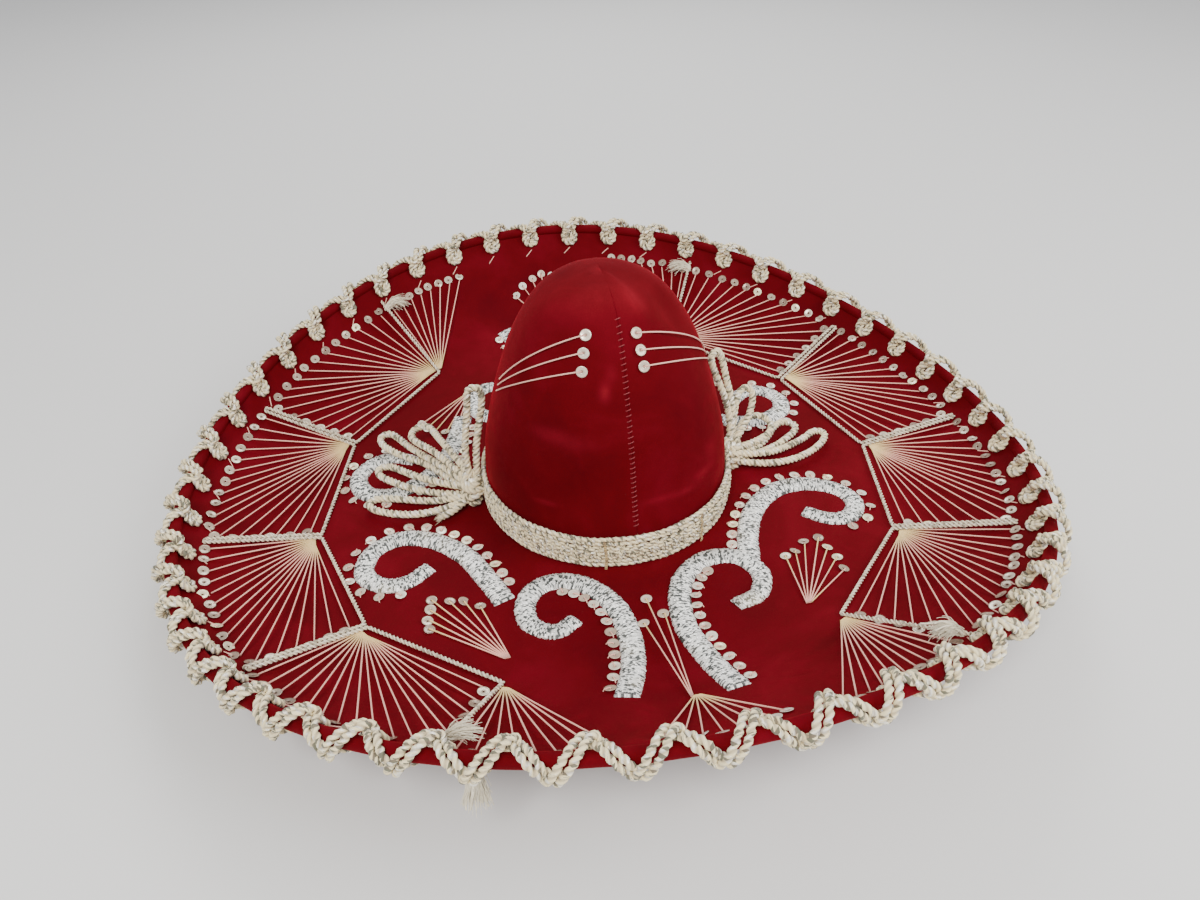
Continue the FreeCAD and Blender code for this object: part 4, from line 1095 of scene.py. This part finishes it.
def add_scroll(name, outline):
    """Satin stitches side by side across a padded scroll, each a ridge, a little uneven at both ends."""
    pitch, per_stitch, across_count = STITCH_PITCH, 5, 19
    line = through(outline, pitch / per_stitch)
    rows = len(line)
    tangent = unit(np.gradient(line, axis=0))
    normal = np.stack([-tangent[:, 1], tangent[:, 0]], -1)
    part = np.linspace(0, 1, rows)
    stitch = (np.arange(rows) // per_stitch)
    within = (np.arange(rows) % per_stitch) / (per_stitch - 1) * 2 - 1
    count = stitch[-1] + 1
    ends = random.uniform(-0.55, 0.35, (count, 2))[stitch]
    rise = random.uniform(-0.22, 0.22, count)[stitch]
    slant = random.uniform(-0.5, 0.5, count)[stitch]
    half = SCROLL_WIDTH / 2 * (1 - 0.25 * part**4)
    from_end = np.minimum(part, 1 - part) * rows * pitch / per_stitch
    tip = np.minimum(1, np.sqrt(np.maximum(0.02, from_end / SCROLL_TIP)))
    ridge = 0.34 * (1 - within**2)
    bead_start = random.uniform(0, 2 * math.pi, count)[stitch]
    mesh = Mesh()
    spread = np.linspace(-1, 1, across_count)
    verts = []
    for s in spread:
        reach = half + np.where(s < 0, ends[:, 0], ends[:, 1])
        bend = math.sqrt(max(0.0, 1 - s * s))
        bead = 0.16 * np.sin(bead_start + s * reach * 2 * math.pi / CHIP_LENGTH)
        lift = (SCROLL_HEIGHT * tip + rise) * bend + (ridge + bead) * (0.35 + 0.65 * bend) - 0.25
        place = line + normal * (s * reach)[:, None] + tangent * (slant * s * 0.9)[:, None]
        radius, angle = polar(place[:, 0], place[:, 1])
        verts.append(on_brim(radius, angle, lift))
    floor = [on_brim(*polar(*(line + normal * (s * half)[:, None]).T), np.full(rows, -0.4)) for s in (1, -1)]
    grid = np.stack(verts + floor, axis=1)
    wide = grid.shape[1]
    faces = [tuple(f) for f in grid_faces(rows, wide, closed_columns=True).tolist()]
    faces += [tuple(range(wide)), tuple(range(rows * wide - 1, (rows - 1) * wide - 1, -1))]
    mesh.add(grid.reshape(-1, 3), faces, along=np.repeat(part * rows * pitch / per_stitch, wide),
             round=np.tile(np.concatenate([spread, [1, -1]]) * 7, rows), lot=np.repeat(stitch * 0.37, wide))
    mesh.piece(f"silver_{name}", SILVER, "silver_embroidery", (name,))


def add_scrolls():
    """The four scrolls in front, and their mirror images behind the crown."""
    for name, outline in SCROLLS.items():
        add_scroll(name, outline)
        add_scroll(name.replace("front", "back"), [(x, BACK_MIRROR - y) for x, y in outline])


# ---------------------------------------------------------------- web cords

CORNERS = (150, 120, 90, 60, 30)
CORNER_RADIUS, SPOKE_END, WEB_CORD = 195.0, 266.0, 2.6
WEB_HALF_GAP = 0.65  # half the distance between a spoke's two cords, in cord diameters


def web_route(sign):
    """In from the back, round five corners, out and back along the spokes, out at the front."""
    ease, end_reach, set_in = 0.1, 4, 1
    lift = WEB_CORD / 2 + ease
    inner_side = math.degrees(WEB_HALF_GAP * WEB_CORD / CORNER_RADIUS)
    outer_side = math.degrees(WEB_HALF_GAP * WEB_CORD / SPOKE_END)
    stops = [(SPOKE_END + end_reach, CORNERS[0]), (CORNER_RADIUS, CORNERS[0])]
    for angle in CORNERS[1:-1]:
        stops += [(CORNER_RADIUS - set_in, angle + inner_side), (SPOKE_END, angle + outer_side),
                  (SPOKE_END, angle - outer_side), (CORNER_RADIUS - set_in, angle - inner_side)]
    stops += [(CORNER_RADIUS, CORNERS[-1]), (SPOKE_END + end_reach, CORNERS[-1])]
    return [on_brim(radius, sign * angle, lift) for radius, angle in stops]


def tightened(points, near):
    """The same corners with a point a little before and after each, so that a spline turns close to them."""
    points = [np.array(p) for p in points]
    result = [points[0]]
    for before, corner, after in zip(points, points[1:], points[2:]):
        back, ahead = before - corner, after - corner
        d_back = min(near, 0.45 * np.linalg.norm(back))
        d_ahead = min(near, 0.45 * np.linalg.norm(ahead))
        result += [corner + unit(back) * d_back, corner, corner + unit(ahead) * d_ahead]
    return [*result, points[-1]]


def add_web_cords():
    """One twisted cord a side that makes the whole web."""
    for side, sign in (("left", -1), ("right", 1)):
        path = resampled(spline_points(tightened(web_route(sign), 2.5), resolution=8), 0.7)
        mesh = Mesh()
        add_rope(mesh, path, WEB_CORD / 2, plies=2, pitch=6.0, around=14, fuzz=0.02)
        mesh.piece(f"{side}_twisted_web_cord", WEB, "cord", (f"{side}_web_cord",))


# ---------------------------------------------------------------- hat band

BAND_CORD = 3.0
BAND_CLEAR = 0.3
BAND_SWELL = 1.08  # the cords are pressed together, so they are a little fatter than their spacing
ROPE_STEP = 0.8  # between the rings of points along a twisted cord
TIE_REACH = (0.2, 23.2)  # from under the lowest cord to over the highest one
TIE_BULGE, TIE_RADIUS = 2.6, 0.35


def band_xyz(angle, height, out=0.0):
    """A place round the crown at that height over its foot, that far out of the band."""
    turn = np.radians(angle)
    grow = BAND_CORD / 2 + BAND_CLEAR + out
    return np.stack([(CROWN_HALF_WIDTH + grow) * np.sin(turn), -(CROWN_HALF_DEPTH + grow) * np.cos(turn),
                     FOOT + height + np.zeros_like(turn)], -1)


def band_ring(heights, name, node):
    """Smooth round cords, one above the other, round the crown."""
    mesh = Mesh()
    angles = np.linspace(-180, 180, 500)
    for height in heights:
        wobble = 0.25 * np.sin(np.radians(angles) * 11 + height) + 0.15 * np.sin(np.radians(angles) * 23)
        path = resampled(band_xyz(angles, height + wobble), ROPE_STEP)
        add_rope(mesh, path, BAND_CORD / 2 * BAND_SWELL, plies=2, pitch=9, around=14, phase=height, lay=0.3,
                 fuzz=0.03)
    mesh.piece(name, CORD, "cord", (node,))


def add_band():
    """Two round cords, a plait of three doubled yarns, two more cords, and the threads that tie them."""
    lower = [BAND_CORD * (0.5 + i) + BAND_CLEAR for i in range(2)]
    plait_low = 2 * BAND_CORD + BAND_CLEAR
    plait_height = 11.0
    upper = [plait_low + plait_height + BAND_CORD * (0.5 + i) for i in range(2)]
    band_ring(lower, "band_lower_twisted_cords", "hat_band_lower_cords")
    band_ring(upper, "band_upper_twisted_cords", "hat_band_upper_cords")
    mesh = Mesh()
    angles = np.linspace(-180, 180, 1500)
    around = lengths_along(band_xyz(angles, 0))
    repeats, yarn, apart = 25, 1.45, 1.35
    swing = plait_height / 2 - yarn - apart
    turns = around / around[-1] * repeats * 2 * math.pi
    middle = plait_low + plait_height / 2
    for strand in range(3):
        phase = turns + strand * 2 * math.pi / 3
        for beside in (-1, 1):
            up = swing * np.sin(phase) + beside * apart
            out = 0.95 * np.sin(2 * phase) + 0.45
            path = band_xyz(angles, middle + up, out)
            add_rope(mesh, resampled(path, ROPE_STEP), yarn, plies=2, pitch=6.5, around=12, phase=strand,
                     lay=0.34, fuzz=0.03)
    mesh.piece("band_plait", CORD, "cord", ("hat_band_plait",))
    ties = Mesh()
    for solid in islands("hat_band_ties"):
        angle = math.degrees(math.atan2(solid[:, 0].mean(), -solid[:, 1].mean()))
        for turn in (-0.35, 0.0, 0.35):
            height = np.linspace(*TIE_REACH, 26)
            bulge = TIE_BULGE + 0.5 * np.sin(height * 0.9)
            path = band_xyz(angle + turn + 0.3 * np.sin(height * 0.2), height, bulge)
            add_tube(ties, path, TIE_RADIUS, around=6)
    ties.piece("band_tie_threads", TIE, "thread", ("hat_band_ties",))


# ---------------------------------------------------------------- bows

# Each loop of cord from the knot and back to it: x, y and lift off the brim.
LEFT_BOW = (
    ((-93, 2, 16), (-95, 6, 31), (-93, 11, 46), (-90, 16, 59), (-88, 19, 70), (-87, 21, 80), (-79, 20, 80),
     (-79, 18, 70), (-82, 15, 58), (-86, 10, 45), (-88, 6, 32), (-89, 3, 18)),
    ((-94, 5, 16), (-102, 18, 19), (-110, 33, 21), (-117, 47, 20), (-125, 59, 19), (-129, 71, 17),
     (-125, 80, 17), (-117, 80, 18), (-113, 70, 21), (-110, 56, 23), (-106, 41, 25), (-101, 27, 24),
     (-95, 12, 20)),
    ((-96, 5, 9), (-106, 20, 9), (-114, 34, 9), (-123, 47, 9), (-134, 57, 9), (-144, 69, 9), (-152, 82, 9),
     (-151, 91, 9), (-143, 91, 10), (-137, 80, 10), (-130, 65, 11), (-122, 50, 13), (-113, 34, 15),
     (-104, 19, 15), (-96, 6, 14)),
    ((-96, 2, 8), (-110, 7, 7), (-123, 14, 7), (-135, 22, 8), (-146, 32, 9), (-155, 43, 9), (-155, 51, 9),
     (-147, 52, 9), (-139, 42, 10), (-130, 29, 12), (-120, 18, 14), (-109, 9, 14), (-97, 3, 13)),
    ((-96, -3, 7), (-109, -5, 5.5), (-122, -7, 5.5), (-136, -5, 5.5), (-149, 1, 5.5), (-161, 10, 5.5),
     (-165, 18, 5.5), (-158, 22, 5.5), (-146, 17, 5.5), (-133, 10, 5.5), (-120, 4, 6), (-108, 0, 8),
     (-97, -1, 9)),
)
RIGHT_BOW = (
    ((91, -1, 16), (92, 4, 32), (90, 9, 46), (86, 14, 59), (82, 17, 70), (80, 18, 80), (87, 22, 81),
     (90, 21, 71), (92, 17, 58), (95, 12, 45), (95, 7, 32), (92, 1, 18)),
    ((93, 0, 14), (96, 8, 26), (99, 15, 36), (103, 21, 44), (110, 25, 46), (115, 24, 40), (113, 18, 32),
     (107, 11, 24), (97, 3, 16)),
    ((95, 2, 13), (102, 12, 15), (109, 22, 17), (118, 28, 18), (127, 26, 17), (130, 17, 16), (125, 8, 14),
     (115, 3, 13), (105, 0, 12), (95, -2, 12)),
    ((95, -3, 7), (107, 0, 6), (118, 6, 6), (127, 14, 7), (135, 24, 8), (144, 30, 8), (152, 26, 8),
     (151, 18, 8), (142, 11, 7), (131, 4, 6), (119, -1, 6), (107, -5, 6), (95, -6, 7)),
    ((94, -9, 6), (108, -15, 5.5), (123, -17, 5.5), (139, -14, 5.5), (155, -6, 5.5), (168, 5, 5.5),
     (173, 14, 6), (165, 18, 6), (154, 9, 6), (140, 1, 7), (126, -6, 8), (111, -10, 10), (97, -8, 11)),
)
BOW_CORD = 5.0
KNOTS = {"left": (-93, 1, 13), "right": (92, -4, 11)}
KNOT_HALF_SIZES = (7, 10, 11)
KNOT_SKIN = 1.5  # how deep the core of a knot lies under the turns round it
BOW_TAIL = ((-99, -3, 7), (-107, -10, 5), (-116, -13, 5))  # the cut end of the left bow's cord


def add_bow_cord(mesh, path, phase):
    """A round, bobbly braided cord with a fuzzy surface that shows wear."""
    add_rope(mesh, resampled(path, 0.7), BOW_CORD / 2, plies=3, pitch=10.5, around=21, phase=phase, lay=0.44,
             fuzz=0.045)


def add_bows():
    """Five loops of braided cord a side, one curve each, and the knots that hold them."""
    for side, loops in (("left", LEFT_BOW), ("right", RIGHT_BOW)):
        for number, route in enumerate(loops, start=1):
            path = spline_points([above_brim(x, y, lift) for x, y, lift in route])
            mesh = Mesh()
            add_bow_cord(mesh, path, number)
            piece = mesh.piece(f"{side}_bow_cord_{number}", BOW, "cord", (f"{side}_bow_loop_{number}",))
        add_knot(side)


def add_knot(side):
    """Turns of cord pulled tight round the middle of the bow, with the cord's cut end on the left."""
    centre = above_brim(*KNOTS[side])
    width, depth, height = KNOT_HALF_SIZES
    mesh = Mesh()
    upright = np.linspace(-1, 1, 24)
    core = centre + np.array([0, 0, height - KNOT_SKIN]) * upright[:, None]
    add_rope(mesh, core, width - KNOT_SKIN, plies=3, pitch=60, around=24, lay=0.2, fuzz=0.03,
             taper=np.sqrt(np.maximum(0.02, 1 - upright**2)))
    turns = 4
    for turn in range(turns):
        at = (turn - (turns - 1) / 2) / ((turns - 1) / 2)
        spin = np.linspace(0, 2 * math.pi, 60)
        shrink = math.sqrt(1 - 0.55 * at * at)
        ring = np.stack([
            np.cos(spin) * (width - 1.2) * shrink,
            np.sin(spin) * (depth - 2.2) * shrink,
            at * (height - 3.6) + 1.6 * np.sin(spin + turn * 2.1)], -1)
        add_bow_cord(mesh, centre + ring, turn)
    if side == "left":
        tail = spline_points([above_brim(*place) for place in BOW_TAIL])
        add_bow_cord(mesh, tail, 0)
        add_brush(mesh, tail[-1], tail[-1] - tail[-4], 4.5, 0.3, 60, radius=0.28)
    mesh.piece(f"{side}_bow_wound_knot", BOW, "cord", (f"{side}_bow_knot",))


# ---------------------------------------------------------------- tufts and tacks


def add_brush(mesh, foot, toward, length, spread, count, radius):
    """A brush of frayed fibres that fan out and curl."""
    toward = unit(np.asarray(toward, float))
    for _ in range(count):
        lean = unit(toward + random.normal(size=3) * spread)
        curl = random.normal(size=3) * 0.25
        reach = length * random.uniform(0.6, 1.0)
        at = np.linspace(0, 1, 9)[:, None]
        path = foot + random.normal(size=3) * 0.7 + lean * reach * at + curl * reach * at**2
        add_tube(mesh, path, radius, around=5, taper=np.linspace(1, 0.45, 9))


HANGING_TUFT_ANGLE = -25
HANGING_TUFT_LENGTH = 23
HANGING_CLUMPS = (-5.0, -1.5, 2.0, 5.0)  # how far to the side each clump of the hanging bundle ends
PINNED_YARNS, CLUMP_YARNS = 13, 4


def add_bundle(mesh, foot, tip, yarns, spread, arch, thick):
    """Thick wavy yarns and fine fibres from one place toward another, spreading and frayed at the end."""
    for radius, count, loose in ((thick, yarns, 1.0), (0.24, yarns * 11, 1.25)):
        for _ in range(count):
            at = np.linspace(0, 1, 12)[:, None]
            end = tip + random.normal(size=3) * spread * loose
            reach = random.uniform(0.75, 1.0)
            sway = np.sin(at * random.uniform(3, 7) + random.uniform(0, 6)) * random.normal(size=3) * 0.7
            path = foot + random.normal(size=3) * 0.9 + (end - foot) * at * reach + sway * at
            path[:, 2:] += arch * np.sin(math.pi * at)
            add_tube(mesh, path, radius, around=6, taper=np.linspace(1, 0.45, 12))


def add_tufts():
    """Frayed ends of the web cords: four pinned brushes, and one bundle that hangs outside the rim."""
    for place, angle, away in (("back", 150, 1), ("front", 30, -1)):
        mesh = Mesh()
        for sign in (-1, 1):
            foot = on_brim(SPOKE_END - 2, sign * angle, 4.0)
            tip = on_brim(SPOKE_END - 5, sign * (angle + 3 * away), 10)
            add_bundle(mesh, foot, tip, PINNED_YARNS, 2.4, 3.5, thick=0.95)
        if place == "front":
            foot = brim_xyz(RIM_END, HANGING_TUFT_ANGLE, BRIM_STACK / 2 + RIM_ROLL + 1)
            out = unit(foot * [1, 1, 0]) * 4
            for aside in HANGING_CLUMPS:
                tip = foot + out + [aside, 0, -HANGING_TUFT_LENGTH]
                add_bundle(mesh, foot, tip, CLUMP_YARNS, 1.0, 0.0, thick=1.05)
        mesh.piece(f"{place}_frayed_tufts", TUFT, "cord", (f"{place}_web_cord_tufts",))


def add_tacks():
    """Threads that hold each loop of the rim cord."""
    mesh = Mesh()
    for solid in islands("rim_cord_tacks"):
        outer, inner = ends_of(solid)[::-1]
        add_thread(mesh, outer, inner, radius=0.34, bow=0.6)
    mesh.piece("rim_cord_tack_threads", THREAD, "thread", ("rim_cord_tacks",))


# ---------------------------------------------------------------- inside


def add_inside():
    """Leather sweatband with a sewn edge, and the hidden board, shell, wire and lining."""
    low, high = low_high("sweatband")
    half = (high - low) / 2
    centre = (high + low) / 2
    turn = np.radians(np.arange(ROUND) * 360 / ROUND)
    rows = np.linspace(0, 1, 14)
    wave = 0.25 * np.sin(7 * turn) + 0.2 * np.sin(17 * turn + 1)

    def wall(inset):
        """Rings of one face of the sweatband; its top edge curls inward."""
        grid = []
        for row in rows:
            curl = 1.0 * max(0.0, row - 0.85) / 0.15
            shrink = inset + curl * 0.5 + wave * 0.4 * row + 0.45
            grid.append(np.stack([(half[0] - shrink) * np.sin(turn), -(half[1] - shrink) * np.cos(turn),
                                  low[2] + 0.3 + (high[2] - low[2] - 0.6) * row + 0 * turn], -1))
        return grid

    grid = np.stack(wall(0.0) + wall(1.0)[::-1]) + np.array([centre[0], centre[1], 0])
    mesh = Mesh()
    mesh.add(grid.reshape(-1, 3), grid_faces(len(grid), ROUND, True, True))
    mesh.piece("leather_sweatband", leather_material(), "sweatband", ("sweatband",))
    stitches = Mesh()
    stitch_count, inset, above_edge, sink, thread_radius = 150, 1.75, 3.0, 0.15, 0.28
    for at in np.radians(np.arange(stitch_count) * 360 / stitch_count):
        place = np.array([
            (half[0] - inset) * math.sin(at), -(half[1] - inset) * math.cos(at), low[2] + above_edge])
        step = np.array([math.cos(at), math.sin(at), 0])
        inward = unit(place * [1, 1, 0]) * -sink
        near, far = place - step * 0.3 + inward, place + step * 0.3 + inward
        path = np.array([place - step, near, far, place + step])
        add_tube(stitches, path + [centre[0], centre[1], 0], thread_radius, around=6)
    stitches.piece("sweatband_stitches", TIE, "sweatband")
    for node, material in (("rim_edge_wire", wire_material()), ("crown_lining", lining_material()),
                           ("crown_shell", board_material())):
        dress(node, material)


def dress(node, material):
    """Gives a CAD node that stays as it is its own material."""
    mesh = nodes[node].data
    mesh.materials.clear()
    mesh.materials.append(material)


# ---------------------------------------------------------------- camera, light and floor


def add_stage():
    """A plain pale floor."""
    floor = bpy.data.meshes.new("floor")
    reach = 6.0
    corners = [(-reach, -reach, 0), (reach, -reach, 0), (reach, reach, 0), (-reach, reach, 0)]
    floor.from_pydata(corners, [], [(0, 1, 2, 3)])
    n = Nodes("pale_floor")
    n.set(base_color=(0.72, 0.71, 0.69, 1), roughness=0.85)
    floor.materials.append(n.material)
    ground = bpy.data.objects.new("floor", floor)
    ground.location.z = -0.0005
    bpy.context.scene.collection.objects.link(ground)


def add_light(name, place, size, power, color=(1, 1, 1)):
    """A round soft light that faces the hat."""
    light = bpy.data.lights.new(name, "AREA")
    light.shape = "DISK"
    light.size, light.energy, light.color = size, power, color
    lamp = bpy.data.objects.new(name, light)
    lamp.location = place
    lamp.rotation_euler = (Vector((0, 0, 0.05)) - Vector(place)).to_track_quat("-Z", "Y").to_euler()
    bpy.context.scene.collection.objects.link(lamp)


def add_lights():
    """Soft light from the front left, weaker from the right and from behind."""
    add_light("key", (-0.6, -1.3, 1.6), 0.9, 47, (1.0, 0.98, 0.95))
    add_light("fill", (1.3, -0.8, 1.1), 1.2, 24, (0.97, 0.98, 1.0))
    add_light("back", (0.3, 1.5, 1.4), 1.0, 18)
    world = bpy.data.worlds.new("studio")
    world.use_nodes = True
    world.node_tree.nodes["Background"].inputs["Color"].default_value = (0.93, 0.95, 1.0, 1)
    world.node_tree.nodes["Background"].inputs["Strength"].default_value = 0.65
    bpy.context.scene.world = world


CAMERA_LENS, CAMERA_SENSOR = 28.43, 36.0
CAMERA_PLACE = (-119.85, -516.8, 411.76)  # measured from the middle of the crown's foot
CAMERA_TURNS = (35.909, -1.695, 12.681)  # down, to the side, and round toward +X


def add_camera():
    """The camera stands above and in front of the hat, a little toward -X."""
    camera = bpy.data.cameras.new("camera")
    camera.lens, camera.sensor_width = CAMERA_LENS, CAMERA_SENSOR
    holder = bpy.data.objects.new("camera", camera)
    place = (Vector(CAMERA_PLACE) + Vector((0, 0, FOOT))) * MM
    pitch, roll, yaw = (math.radians(turn) for turn in CAMERA_TURNS)
    forward = Vector((0, math.cos(pitch), -math.sin(pitch)))
    up = Vector((0, math.sin(pitch), math.cos(pitch)))
    right = Vector((1, 0, 0))
    up_rolled = up * math.cos(roll) - right * math.sin(roll)
    right_rolled = right * math.cos(roll) + up * math.sin(roll)
    turn = Matrix((right_rolled, up_rolled, -forward)).transposed().to_4x4()
    holder.matrix_world = Matrix.Translation(place) @ Matrix.Rotation(-yaw, 4, "Z") @ turn
    bpy.context.scene.collection.objects.link(holder)
    bpy.context.scene.camera = holder


add_camera()
add_stage()
add_lights()
add_brim()
add_rim_roll()
add_crown()
add_seams()
add_rim_cord()
add_web_cords()
add_fans()
add_scroll_sequins()
add_crown_threads()
add_scrolls()
add_band()
add_bows()
add_tufts()
add_tacks()
add_inside()
